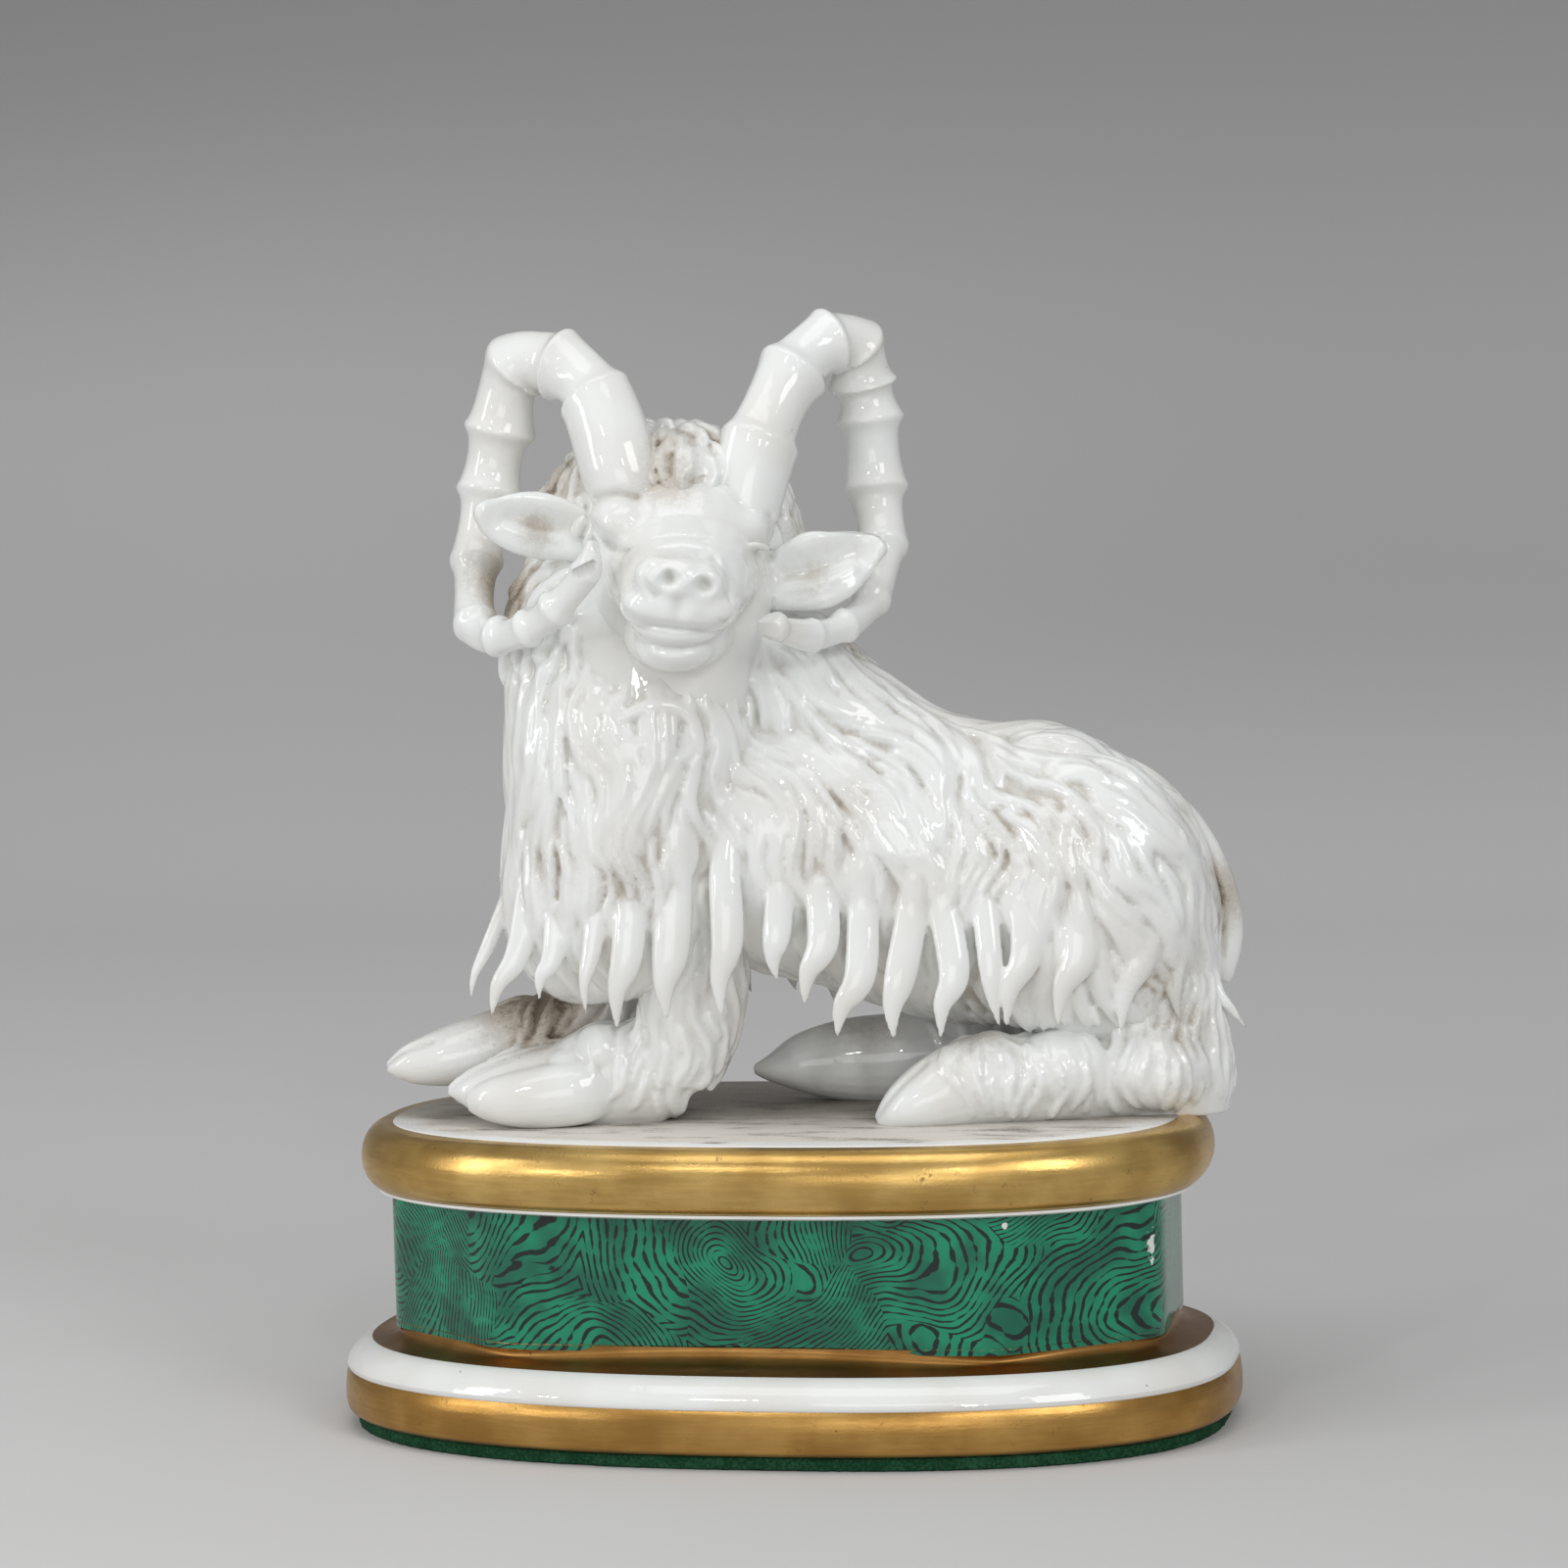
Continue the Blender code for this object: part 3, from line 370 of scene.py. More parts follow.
# %% Mix the plinth's top and the felt
TOP_DUST_PAINTED_SHADE = (0.165, 0.128, 0.090)
TOP_DUST_PAINTED_LIT = (0.68, 0.64, 0.57)
TOP_HALF_LENGTH = 0.0874
TOP_HALF_WIDTH = 0.0476
TOP_SMUDGE = (0.075, 0.062, 0.048)
FELT_GREEN = (0.006, 0.042, 0.018)
FELT_LIGHT = (0.022, 0.095, 0.045)


def mix_plinth_top():
    top = Finish("dusty_glaze", IOR=1.52)
    place = top.place()
    x, y = (top.node("ShaderNodeSeparateXYZ", {0: place}, axis) for axis in ("X", "Y"))
    long_share = abs(x) * (1.0 / TOP_HALF_LENGTH)
    wide_share = abs(y) * (1.0 / TOP_HALF_WIDTH)
    rim = 1.0 - (long_share * long_share * long_share + wide_share * wide_share * wide_share)
    cloud = top.noise(place, 0.017, 4.0) - 0.5
    swept = top.noise(top.stretch(place, (0.35, 1.6, 1.0)), 0.006, 3.0) - 0.5
    grit = top.noise(place, 0.0007, 2.0) - 0.5
    inner = top.rise(rim + cloud * 0.35 + swept * 0.25, 0.08, 0.34)
    # The front rim stays white: clean glaze, with a painted highlight where the rounded edge catches the
    # light.
    clean_and_lit_rim = (1.0 - inner) * (1.0 - top.rise(y, -0.03, 0.0))
    dust = 1.0 - clean_and_lit_rim
    cover = top.rise(dust + grit * 0.5, 0.10, 1.05)
    smudge = top.rise(dust * 0.5 + swept * 1.5 + cloud * 0.8 + grit * 0.3, 0.52, 0.95)
    # Painted light and shade: pale dust at the front, where it is lit and mirrors the hooves, dark dust
    # at the back, where the body shades it.
    dust_in_painted_light = top.blend(top.rise(y + cloud * 0.04, -0.034, 0.012), TOP_DUST_PAINTED_LIT, TOP_DUST_PAINTED_SHADE)
    colour = top.blend(cover * 0.86, GLAZE_WHITE, dust_in_painted_light)
    colour = top.blend(smudge * 0.75, colour, TOP_SMUDGE)
    top.set(Base_Color=colour, Roughness=0.10 + cover * 0.5,
            Normal=top.bump(grit * cover, 0.00008))
    return top.material


def mix_felt():
    felt = Finish("felt", Roughness=1.0, IOR=1.3)
    place = felt.place()
    fibre = felt.noise(place, 0.0007, 4.0)
    tone = felt.rise(fibre + (felt.noise(place, 0.006, 2.0) - 0.5) * 0.5, 0.35, 0.75)
    felt.set(Base_Color=felt.blend(tone, FELT_GREEN, FELT_LIGHT),
             Normal=felt.bump(fibre, 0.0004))
    return felt.material


dusty_glaze = mix_plinth_top()
green_felt = mix_felt()
print("mixed", dusty_glaze.name, "and", green_felt.name)

# %% [markdown]
# ## Working on one piece at a time
#
# Loading the model leaves its parts selected, and an operator acts on all that is selected.
# So each step first picks its own piece alone, and a modifier is applied as soon as it is
# added, which leaves a plain mesh to work on further.

# %% Pick, dress and finish a piece


def pick_only(piece):
    bpy.ops.object.select_all(action="DESELECT")
    piece.select_set(True)
    bpy.context.view_layer.objects.active = piece


def finish_with(piece, kind, **settings):
    """Adds a modifier and applies it at once."""
    pick_only(piece)
    modifier = piece.modifiers.new(kind.title(), kind)
    for name, value in settings.items():
        setattr(modifier, name, value)
    bpy.ops.object.modifier_apply(modifier=modifier.name)


def dress(piece, material):
    piece.data.materials.clear()
    piece.data.materials.append(material)
    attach(piece, "root")
    print(piece.name, "has", len(piece.data.polygons), "faces")


# %% [markdown]
# ## The plinth's mouldings
#
# From the floor up, the plinth is a gilt foot, a white step, a gilt cove, the green band and
# a gilt half-round, all following one blunt oval. Each could be a swept curve, but a lathe
# gives circles only. So each starts as a filled circle pulled into the oval, and is extruded
# upwards ring by ring: between rings it is resized so that its edge moves in or out by the
# same amount all round.

# %% Extrude the mouldings
PLINTH_HALF_LENGTH = 0.100
PLINTH_HALF_WIDTH = 0.0602
OVAL_POWER = 2.48
PLINTH_SIDES = 240
FELT_TOP_Z = 0.0033
FOOT_TOP_Z = 0.0136
STEP_TOP_Z = 0.0194
BAND_BOTTOM_Z = 0.0233
PLINTH_TOP_Z = 0.0676
TORUS_INSET = 0.0112
TORUS_BULGE = 0.0062
BAND_INSET = 0.0138


def oval_share(angle):
    """Where a blunt oval of half sizes 1 lies at an angle."""
    cosine, sine = math.cos(angle), math.sin(angle)
    power = 2 / OVAL_POWER
    return math.copysign(abs(cosine) ** power, cosine), math.copysign(abs(sine) ** power, sine)


def extrude_moulding(name, profile, soften=0.0004):
    """An oval drum. Its profile lists (inset from the foot's edge, height), going up."""
    bpy.ops.object.select_all(action="DESELECT")
    bpy.ops.mesh.primitive_circle_add(vertices=PLINTH_SIDES, fill_type="NGON", calc_uvs=False)
    piece = bpy.context.object
    piece.name = name
    inset, height = profile[0]
    length, width = PLINTH_HALF_LENGTH - inset, PLINTH_HALF_WIDTH - inset
    for vertex in piece.data.vertices:
        x, y = oval_share(math.atan2(vertex.co.y, vertex.co.x))
        vertex.co = (length * x, width * y, height)
    bpy.ops.object.mode_set(mode="EDIT")
    bpy.ops.mesh.select_all(action="SELECT")
    for inset, next_height in profile[1:]:
        next_length, next_width = PLINTH_HALF_LENGTH - inset, PLINTH_HALF_WIDTH - inset
        up = {"value": (0, 0, next_height - height)}
        bpy.ops.mesh.extrude_region_move(TRANSFORM_OT_translate=up)
        scale = (next_length / length, next_width / width, 1.0)
        bpy.ops.transform.resize(value=scale, center_override=(0, 0, next_height))
        length, width, height = next_length, next_width, next_height
    bpy.ops.mesh.select_all(action="SELECT")
    bpy.ops.mesh.normals_make_consistent(inside=False)
    bpy.ops.object.mode_set(mode="OBJECT")
    if soften:
        finish_with(piece, "BEVEL", width=soften, segments=3, limit_method="ANGLE",
                    angle_limit=math.radians(40))
    pick_only(piece)
    bpy.ops.object.shade_smooth_by_angle(angle=math.radians(35))
    return piece


def hollow_quarter(start, end, steps):
    """A hollow quarter round between two (inset, height) points."""
    (inset_a, z_a), (inset_b, z_b) = start, end
    points = []
    for step in range(steps + 1):
        angle = math.pi / 2 * step / steps
        across, up = math.sin(angle), 1 - math.cos(angle)
        points.append((inset_a + (inset_b - inset_a) * across, z_a + (z_b - z_a) * up))
    return points


foot = extrude_moulding("gilt_foot", [
    (0.0016, FELT_TOP_Z), (0.0004, 0.0042), (0.0, 0.0060), (0.0, 0.0090), (0.0003, 0.0118),
    (0.0010, 0.0131), (0.0022, FOOT_TOP_Z)])
step = extrude_moulding("white_step", [
    (0.0030, 0.0125), (0.0007, 0.0130), (0.0004, 0.0142), (0.0010, 0.0158),
    (0.0024, 0.0174), (0.0042, 0.0187), (0.0062, STEP_TOP_Z)])
top_face = extrude_moulding("plinth_top", [
    (0.0160, 0.0600), (0.0118, 0.0668), (0.0121, 0.0674), (0.0126, PLINTH_TOP_Z)], 0.0002)
lip = extrude_moulding("white_lip", [
    (0.0130, 0.0515), (0.0096, 0.0521), (0.0084, 0.0526), (0.0084, 0.0532)], 0.0)
turns = 20
torus = extrude_moulding("gilt_torus", [
    (TORUS_INSET - TORUS_BULGE * math.cos(math.pi * (i / turns - 0.5)) ** 0.85,
     0.0527 + (PLINTH_TOP_Z - 0.0529) * (0.5 + 0.5 * math.sin(math.pi * (i / turns - 0.5))))
    for i in range(1, turns)], 0.0)
print("torus top at", round(max(vertex.co.z for vertex in torus.data.vertices) * 1000, 2), "mm")

# %% [markdown]
# ## The eight-sided band
#
# Between the mouldings the drum is eight-sided, with soft corners. Cutting the corners off a
# box would leave them sharp, so the oval's points are pushed along their own directions onto
# the eight-sided outline. The gilt cove below changes from the oval to that outline.

# %% Square up the band and the cove
BAND_CORNER_X = 0.0541
BAND_CORNER_Y = 0.0210
BAND_NARROWER = 0.0018
CORNER_POWER = 40
band_length = PLINTH_HALF_LENGTH - BAND_INSET
band_width = PLINTH_HALF_WIDTH - BAND_INSET - BAND_NARROWER


def eight_sided(x, y, length, width):
    """The point of the eight-sided outline in the direction of x and y."""
    way_x, way_y = abs(x) / math.hypot(x, y), abs(y) / math.hypot(x, y)
    cant_x, cant_y = width - BAND_CORNER_Y, length - BAND_CORNER_X
    reach = cant_x * BAND_CORNER_X + cant_y * width
    sides = (way_x / length, way_y / width, (cant_x * way_x + cant_y * way_y) / reach)
    out = sum(side ** CORNER_POWER for side in sides) ** (-1 / CORNER_POWER)
    return math.copysign(way_x * out, x), math.copysign(way_y * out, y)


def square_up(piece, bottom, top):
    """Pushes a drum's points onto the eight sides, not at all at bottom and fully at top."""
    for vertex in piece.data.vertices:
        x, y, z = vertex.co
        if math.hypot(x, y) < 0.001:
            continue
        share = min(max((z - bottom) / (top - bottom), 0.0), 1.0)
        flat_x, flat_y = eight_sided(x, y, band_length, band_width)
        vertex.co.x += (flat_x - x) * share
        vertex.co.y += (flat_y - y) * share
    piece.data.update()


cove_profile = hollow_quarter((0.0060, STEP_TOP_Z), (BAND_INSET - 0.0002, 0.0236), 10)
cove = extrude_moulding("gilt_cove", cove_profile + [(BAND_INSET + 0.0012, 0.0238)], 0.0)
square_up(cove, STEP_TOP_Z + 0.0002, BAND_BOTTOM_Z)
band = extrude_moulding("green_band", [
    (BAND_INSET, 0.0225), (BAND_INSET, 0.0232), (BAND_INSET, 0.038), (BAND_INSET, 0.0528)], 0.0)
square_up(band, 0.0, 0.001)

turn_angles = np.linspace(-math.pi, math.pi, 721)
outline = [eight_sided(math.cos(turn), math.sin(turn), band_length, band_width) for turn in turn_angles]
strides = np.linalg.norm(np.diff(np.array(outline), axis=0), axis=1)
lengths = np.concatenate([[0.0], np.cumsum(strides)])
uv = band.data.uv_layers.new(name="Around")
for face in band.data.polygons:
    middle = math.atan2(face.center.y, face.center.x)
    for corner in face.loop_indices:
        point = band.data.vertices[band.data.loops[corner].vertex_index].co
        angle = math.atan2(point.y, point.x)
        if angle - middle > math.pi:
            angle -= 2 * math.pi
        if middle - angle > math.pi:
            angle += 2 * math.pi
        uv.data[corner].uv = (float(np.interp(angle, turn_angles, lengths)), point.z)
print("the band is", round(lengths[-1] * 1000), "mm round")

for piece, material in ((foot, foot_gilding), (step, porcelain), (cove, cove_gilding),
                        (band, green_stone), (lip, porcelain), (torus, gilding), (top_face, dusty_glaze)):
    dress(piece, material)

# %% [markdown]
# ## Clay for the ram
#
# The ram was modelled by hand, from rolls and pellets of clay pressed together. A mesh can be
# built the same way: tapered rolls and balls are laid into each other, a voxel remesh turns
# them into one skin, and smoothing rounds the joins as wet glaze does. The ram has a frame of
# its own, with the face looking along -Y, the rump along +X and the plinth's top at z = 0.

# %% Roll and skin the clay
RAM_TURN = math.radians(12.2)
RAM_SINK = 0.0006
RAM_PLACE = Matrix.Translation((0, 0, PLINTH_TOP_Z - RAM_SINK)) @ Matrix.Rotation(RAM_TURN, 4, "Z")
COARSE = 1.0


def smooth_path(points, steps):
    """Points of a smooth curve through the given rows of numbers, steps to each span."""
    rows = np.array(points, dtype=float)
    padded = np.vstack([rows[:1], rows, rows[-1:]])
    path = []
    for i in range(len(rows) - 1):
        a, b, c, d = padded[i:i + 4]
        for t in np.arange(steps) / steps:
            path.append(0.5 * (2 * b + (c - a) * t + (2 * a - 5 * b + 4 * c - d) * t * t
                               + (3 * b - a - 3 * c + d) * t ** 3))
    path.append(rows[-1])
    return np.array(path)


def in_metres(table):
    """Turns millimetres into metres, in one number or in rows of numbers."""
    if isinstance(table, (list, tuple)):
        return [in_metres(entry) for entry in table]
    return round(table / 1000, 7)


class Clay:
    """Rolls and balls of clay, laid into each other before one skin covers them."""

    def __init__(self):
        self.points = []
        self.faces = []

    def roll(self, centres, halves, ups, sides=12):
        """A tube of elliptical rings: halves are its half sizes along its side and along up."""
        centres, halves = np.array(centres), np.array(halves)
        ahead = np.gradient(centres, axis=0)
        side = np.cross(ahead, np.broadcast_to(np.array(ups), centres.shape))
        side /= np.linalg.norm(side, axis=1)[:, None] + 1e-12
        top = np.cross(side, ahead)
        top /= np.linalg.norm(top, axis=1)[:, None] + 1e-12
        angles = 2 * np.pi * np.arange(sides) / sides
        rings = (centres[:, None]
                 + side[:, None] * (halves[:, :1] * np.cos(angles))[:, :, None]
                 + top[:, None] * (halves[:, 1:] * np.sin(angles))[:, :, None])
        self.add_rings(rings)

    def add_rings(self, rings):
        """Skins a row of rings, with a face at each end."""
        count, sides = rings.shape[:2]
        start = len(self.points)
        self.points.extend(rings.reshape(-1, 3).tolist())
        for i in range(count - 1):
            low = start + i * sides
            for k in range(sides):
                after = (k + 1) % sides
                self.faces.append((low + k, low + after, low + sides + after, low + sides + k))
        self.faces.append(tuple(range(start + sides - 1, start - 1, -1)))
        last = start + (count - 1) * sides
        self.faces.append(tuple(range(last, last + sides)))

    def limb(self, stations, up=(0, 0, 1), steps=5, sides=24):
        """A smooth roll through stations of (x, y, z, half width, half height)."""
        path = smooth_path(stations, steps)
        self.roll(path[:, :3], np.maximum(path[:, 3:], 0.0004), up, sides)

    def ball(self, row, rings=14, sides=22):
        """A ball from a row of its middle's x, y and z and its three half sizes."""
        centre, radii = np.array(row[:3]), row[3:]
        angles = np.linspace(0.05, np.pi - 0.05, rings)
        centres = np.array([centre + (0, 0, radii[2] * math.cos(a)) for a in angles])
        halves = [(radii[0] * math.sin(a), radii[1] * math.sin(a)) for a in angles]
        self.roll(centres, halves, (0, 1, 0), sides)

    def lump(self, piece):
        """Takes in a piece that already has a skin."""
        start = len(self.points)
        self.points.extend(vertex.co[:] for vertex in piece.data.vertices)
        self.faces.extend(tuple(start + i for i in face.vertices) for face in piece.data.polygons)

    def piece(self, name):
        mesh = bpy.data.meshes.new(name)
        mesh.from_pydata(self.points, [], self.faces)
        piece = bpy.data.objects.new(name, mesh)
        bpy.context.scene.collection.objects.link(piece)
        return piece

    def skin(self, name, voxel, soften):
        """One closed skin over all the clay, with its joins rounded."""
        piece = self.piece(name)
        finish_with(piece, "REMESH", mode="VOXEL", voxel_size=voxel)
        if soften:
            finish_with(piece, "SMOOTH", factor=0.5, iterations=soften)
        return piece


def surface_of(piece):
    """A search tree over a piece's skin."""
    corners = [vertex.co for vertex in piece.data.vertices]
    return BVHTree.FromPolygons(corners, [face.vertices[:] for face in piece.data.polygons])


def vertex_rows(piece, what="co"):
    """A mesh's vertex places or normals as rows of three numbers."""
    rows = np.empty(len(piece.data.vertices) * 3, dtype=np.float32)
    piece.data.vertices.foreach_get(what, rows)
    return rows.reshape(-1, 3)


def press(piece, line, width, depth, towards, reach=0.007):
    """Presses a groove along a line, or raises a ridge where depth is negative.

    The line is seen along towards, and only skin within reach of it that way is moved."""
    marks = smooth_path(line, 10) if len(line) > 1 else np.array(line, dtype=float)
    towards = np.array(towards, dtype=float)
    places = vertex_rows(piece).astype(float)
    near = np.flatnonzero(vertex_rows(piece, "normal") @ towards > 0.0)
    spread = 3 * width + reach
    inside = (places[near] > marks.min(0) - spread) & (places[near] < marks.max(0) + spread)
    near = near[np.all(inside, axis=1)]
    gaps = places[near][:, None] - marks[None]
    behind = gaps @ towards
    across = np.linalg.norm(gaps - behind[:, :, None] * towards, axis=2)
    closest = np.argmin(across, axis=1)
    rows = np.arange(len(near))
    push = depth * np.exp(-(across[rows, closest] / width) ** 2)
    push[np.abs(behind[rows, closest]) > reach] = 0.0
    places[near] -= push[:, None] * towards
    piece.data.vertices.foreach_set("co", places.ravel())
    piece.data.update()


def shave(piece, point, outward, reach):
    """Flattens a chip: skin near a point that stands past a plane is laid onto the plane."""
    outward = np.array(outward, dtype=float)
    outward /= np.linalg.norm(outward)
    places = vertex_rows(piece).astype(float)
    gaps = places - np.array(point)
    past = gaps @ outward
    chosen = (np.linalg.norm(gaps, axis=1) < reach) & (past > 0)
    places[chosen] -= past[chosen][:, None] * outward
    piece.data.vertices.foreach_set("co", places.ravel())
    piece.data.update()


def thin_out(piece, triangles):
    share = triangles / (2 * len(piece.data.polygons))
    if share < 1:
        finish_with(piece, "DECIMATE", ratio=share, use_collapse_triangulate=True)


print("clay helpers ready, grain", COARSE)

# %% [markdown]
# ## Trunk and legs
#
# First comes a plain armature of clay without wool: neck, trunk, withers, haunches and the
# four folded legs. Each is a roll through a few stations, which give the place of its middle
# and its two half sizes, in millimetres. The wool is laid on this skin afterwards.

# %% Lay the plain body
NECK = in_metres([
    (-27.5, 3, 118, 25, 19.5), (-30, -0.5, 106, 28.5, 20.5), (-30.5, -4, 94, 27, 20),
    (-31, -5, 81, 27, 21.5), (-31.5, -4, 65, 26.2, 22.5), (-33.8, -3, 48, 26.5, 21.5),
    (-34.2, -1, 37, 21.5, 18), (-33.5, 0, 31, 13, 10),
])
TRUNK = in_metres([
    (-24, 0, 64, 16, 19), (-11.4, 0, 63.5, 21.5, 26), (1.6, 0.5, 62, 24, 29), (16.8, 1, 60, 25, 30.5),
    (34, 1.5, 54.5, 25.5, 31), (53.4, 0, 51.2, 25, 32.5), (69, 0.5, 46.4, 24, 30.2),
    (78, 1, 40, 21.2, 22.8), (84.5, 1.5, 31, 17.5, 12.5), (86.8, 2, 24, 12, 8.5),
])
WITHERS = in_metres([
    (-19, 5, 113, 15, 12), (-8, 4.5, 104, 17, 15), (4.7, 3.5, 92.5, 18, 16.5),
    (19.5, 2.5, 79, 20, 16.5), (34.4, 2, 72.8, 21, 14.5), (50, 1.5, 71.4, 21, 13),
])
HOCK = in_metres([
    (76, -7, 34, 16.5, 13), (79.5, -7.5, 21, 17.5, 13), (81.5, -8, 8, 17.5, 12.5),
    (81.5, -8, 0, 16.5, 11.5),
])
HIND_NEAR = in_metres([
    (96, -6.5, 7.5, 6, 7.2), (88.5, -9.5, 8, 9.5, 9), (75.2, -13, 8, 10, 9.6),
    (55.7, -17, 8.5, 10, 10), (42.8, -19, 9, 9.5, 10), (34.6, -20, 7, 9, 8.8),
    (27.6, -21, 4.6, 8.2, 6.4), (22.6, -21.2, 2.4, 5.5, 3.6), (20, -21.2, 1.4, 2, 1.2),
])
HIND_FAR = in_metres([
    (92.5, 12, 8, 7, 8.5), (80, 15.5, 7.8, 10, 9.5), (58.1, 18.5, 8, 10, 10),
    (35.8, 19.5, 9.1, 10, 10.7), (22.4, 19, 9.3, 9.5, 10.2), (13.5, 18, 9.4, 9, 9.3),
    (4.6, 16.5, 9.2, 8, 7), (-2, 15.5, 8.4, 5.5, 3.6), (-6.6, 15, 8.3, 1.8, 1),
])
FORELEG_NEAR = in_metres([
    (-16, -8, 58, 12, 11), (-18.8, -8.5, 42, 12, 10.8), (-19.2, -8.5, 31, 11.5, 10.5),
    (-20.7, -7.5, 20.5, 10.6, 10), (-23.6, -6, 11, 9.2, 9.5),
])
FOREFOOT_NEAR = in_metres([
    (-20.5, -5, 9.5, 8, 8), (-26, -5, 10.8, 9.5, 11.4), (-33, -5, 10.6, 9.8, 11.8),
    (-40.9, -5, 10.3, 9.8, 11.5), (-48.6, -5.2, 8.6, 9.2, 9.6), (-56.2, -5.4, 7.7, 9, 8.6),
    (-63.7, -5.6, 7.9, 8, 6.8), (-70.2, -5.8, 8.5, 5.2, 3.7), (-74, -5.8, 8.4, 1.8, 1),
])
FORELEG_FAR = in_metres([
    (-30, 10, 45, 10, 10), (-34, 13, 25, 10, 10), (-34, 13.5, 8, 9.2, 9.2), (-33.8, 13.5, -1, 8, 8),
])
FOREFOOT_FAR = in_metres([
    (-36, 13, 24, 9.5, 11), (-45.7, 13.5, 20.5, 9.2, 9), (-56.7, 12, 17.9, 8.8, 8.1),
    (-67.7, 10, 15.4, 8.5, 7.5), (-76.4, 8.5, 13.7, 7.6, 6.4), (-84, 7.2, 12.7, 4.8, 4.2),
    (-88.5, 6.4, 12.3, 1.6, 1.1),
])
SKULL = in_metres((-22.5, 5, 128.6, 29, 22.5, 25))
HAUNCHES = in_metres([
    (66.3, -13, 46.5, 25.5, 15, 31.5), (67.5, 13, 45, 25.5, 14, 31.5), (57, -3, 74.2, 16, 13, 10),
])
POLL = in_metres((-18, -3, 141, 13, 16.5, 11.8))
KNUCKLES = in_metres([
    (-40.1, -8.5, 16.5, 6.2, 6.6, 6.2), (-47, -8.5, 13, 6, 6, 4.8), (-67.2, 9.5, 18, 6.2, 5, 4.2),
    (-50, 12.5, 21.5, 7, 7, 6), (45.5, -19, 13.5, 7.5, 8, 6.5), (60, -19, 11, 11, 10, 9),
    (80, -16, 10, 13, 10.5, 9),
])
TOES = in_metres([
    [(-33, -7, 9, 2, 3), (-40, -10.5, 8.5, 4.8, 6.2), (-46, -12.8, 8, 6, 7.2), (-56, -12.5, 7, 6, 6.6),
     (-64, -11.5, 6.8, 5, 5), (-68.8, -10, 6.6, 2.8, 2.6)],
    [(-42, -3, 12, 2, 3), (-50, -2, 12, 5, 5.8), (-61, -3, 10, 5, 5.6), (-69, -4, 8.4, 4.2, 4.2),
     (-72.8, -4.5, 8.2, 2.2, 2.4)],
])
ARMATURE_VOXEL = 0.0016

trunk_clay = Clay()
trunk_clay.limb(NECK, up=(0, 1, 0))
trunk_clay.limb(TRUNK)
trunk_clay.limb(WITHERS)
for ball in HAUNCHES + [SKULL, POLL]:
    trunk_clay.ball(ball)
trunk_core = trunk_clay.skin("trunk_core", ARMATURE_VOXEL, 4)

leg_clay = Clay()
leg_clay.limb(FORELEG_NEAR, up=(0, 1, 0))
leg_clay.limb(FORELEG_FAR, up=(0, 1, 0))
leg_clay.limb(HOCK, up=(0, 1, 0))
for stations in [HIND_NEAR, HIND_FAR, FOREFOOT_NEAR, FOREFOOT_FAR] + TOES:
    leg_clay.limb(stations)
for ball in KNUCKLES:
    leg_clay.ball(ball)
leg_core = leg_clay.skin("leg_core", ARMATURE_VOXEL, 2)
print("plain body:", len(trunk_core.data.vertices) + len(leg_core.data.vertices), "points")

# %% [markdown]
# ## The wool
#
# The wool is hundreds of long strands of clay that swell, part and meet again, with larger
# pointed tufts among them. Hair particles would look like fur and not like glazed clay. Here
# each strand walks over the skin along the way the wool is combed, so it follows every curve,
# and the remesh fuses it to its neighbours. A slow wave, the same for neighbours, bends them
# all together.

# %% Comb and lay the wool
FACE_MIDDLE = (-0.0195, 0.1165)
FACE_HALF_WIDTH = 0.0215
FACE_HALF_HEIGHT = 0.0180
HIP_X = 0.0600
FACE_BACK_Y = -0.0080
NECK_TOP_Z = 0.1060
POLL_BOTTOM_Z = 0.1330
LEG_TOP_Z = 0.0300
FLEECE_EDGE_Z = 0.020
LEG_EDGE_Z = 0.0008
STRAND_SPACING = 0.0034
TUFT_SPACING = 0.0112
LEG_TUFT_SPACING = 0.0150


def comb(point, normal):
    """The way the wool hangs at a point of the skin."""
    x, y, z = point
    rear = min(max((x + 0.022) / 0.034, 0.0), 1.0)
    high = min(max((z - 0.055) / 0.040, 0.0), 1.0)
    fan = min(max((x - HIP_X) / 0.035, -0.5), 0.5) if x > 0.035 else 0.0
    back = rear * (0.10 + 0.9 * max(normal.z, 0.0) + 0.85 * high) + fan
    way = Vector((back, 0.25 * normal.y * normal.z, -1.0))
    if z > POLL_BOTTOM_Z:
        way = Vector((0.4 * normal.x, -0.5, -0.8))
    elif z > NECK_TOP_Z and x < 0.0:
        way = Vector((0.6 * normal.x, 0.3, -0.8))
    elif z < LEG_TOP_Z:
        way = Vector((-0.35 if x < -0.030 else 0.05, 0.0, -1.0))
    way -= normal * way.dot(normal)
    way.normalize()
    wave = math.sin(210 * x + 130 * z + 2 * math.sin(150 * z + 80 * y))
    wave += math.sin(190 * y - 260 * z + 90 * x)
    return (way + normal.cross(way) * (0.28 * wave)).normalized()


def bare(point):
    """True on the face, the throat and the hooves."""
    x, y, z = point
    across = (x - FACE_MIDDLE[0]) / FACE_HALF_WIDTH
    up = (z - FACE_MIDDLE[1]) / FACE_HALF_HEIGHT
    if y < FACE_BACK_Y and across ** 2 + up ** 2 < 1.0:
        return True
    low = z < 0.0260
    fore_near = x < -0.0260 - 0.6 * z and y < 0.003 and z < 0.0220
    fore_far = x < -0.0600 and low
    hind_near = 0.0 < x < 0.0360 and y < 0.0 and low
    hind_far = -0.02 < x < 0.0300 and y > 0.0 and low
    return fore_near or fore_far or hind_near or hind_far


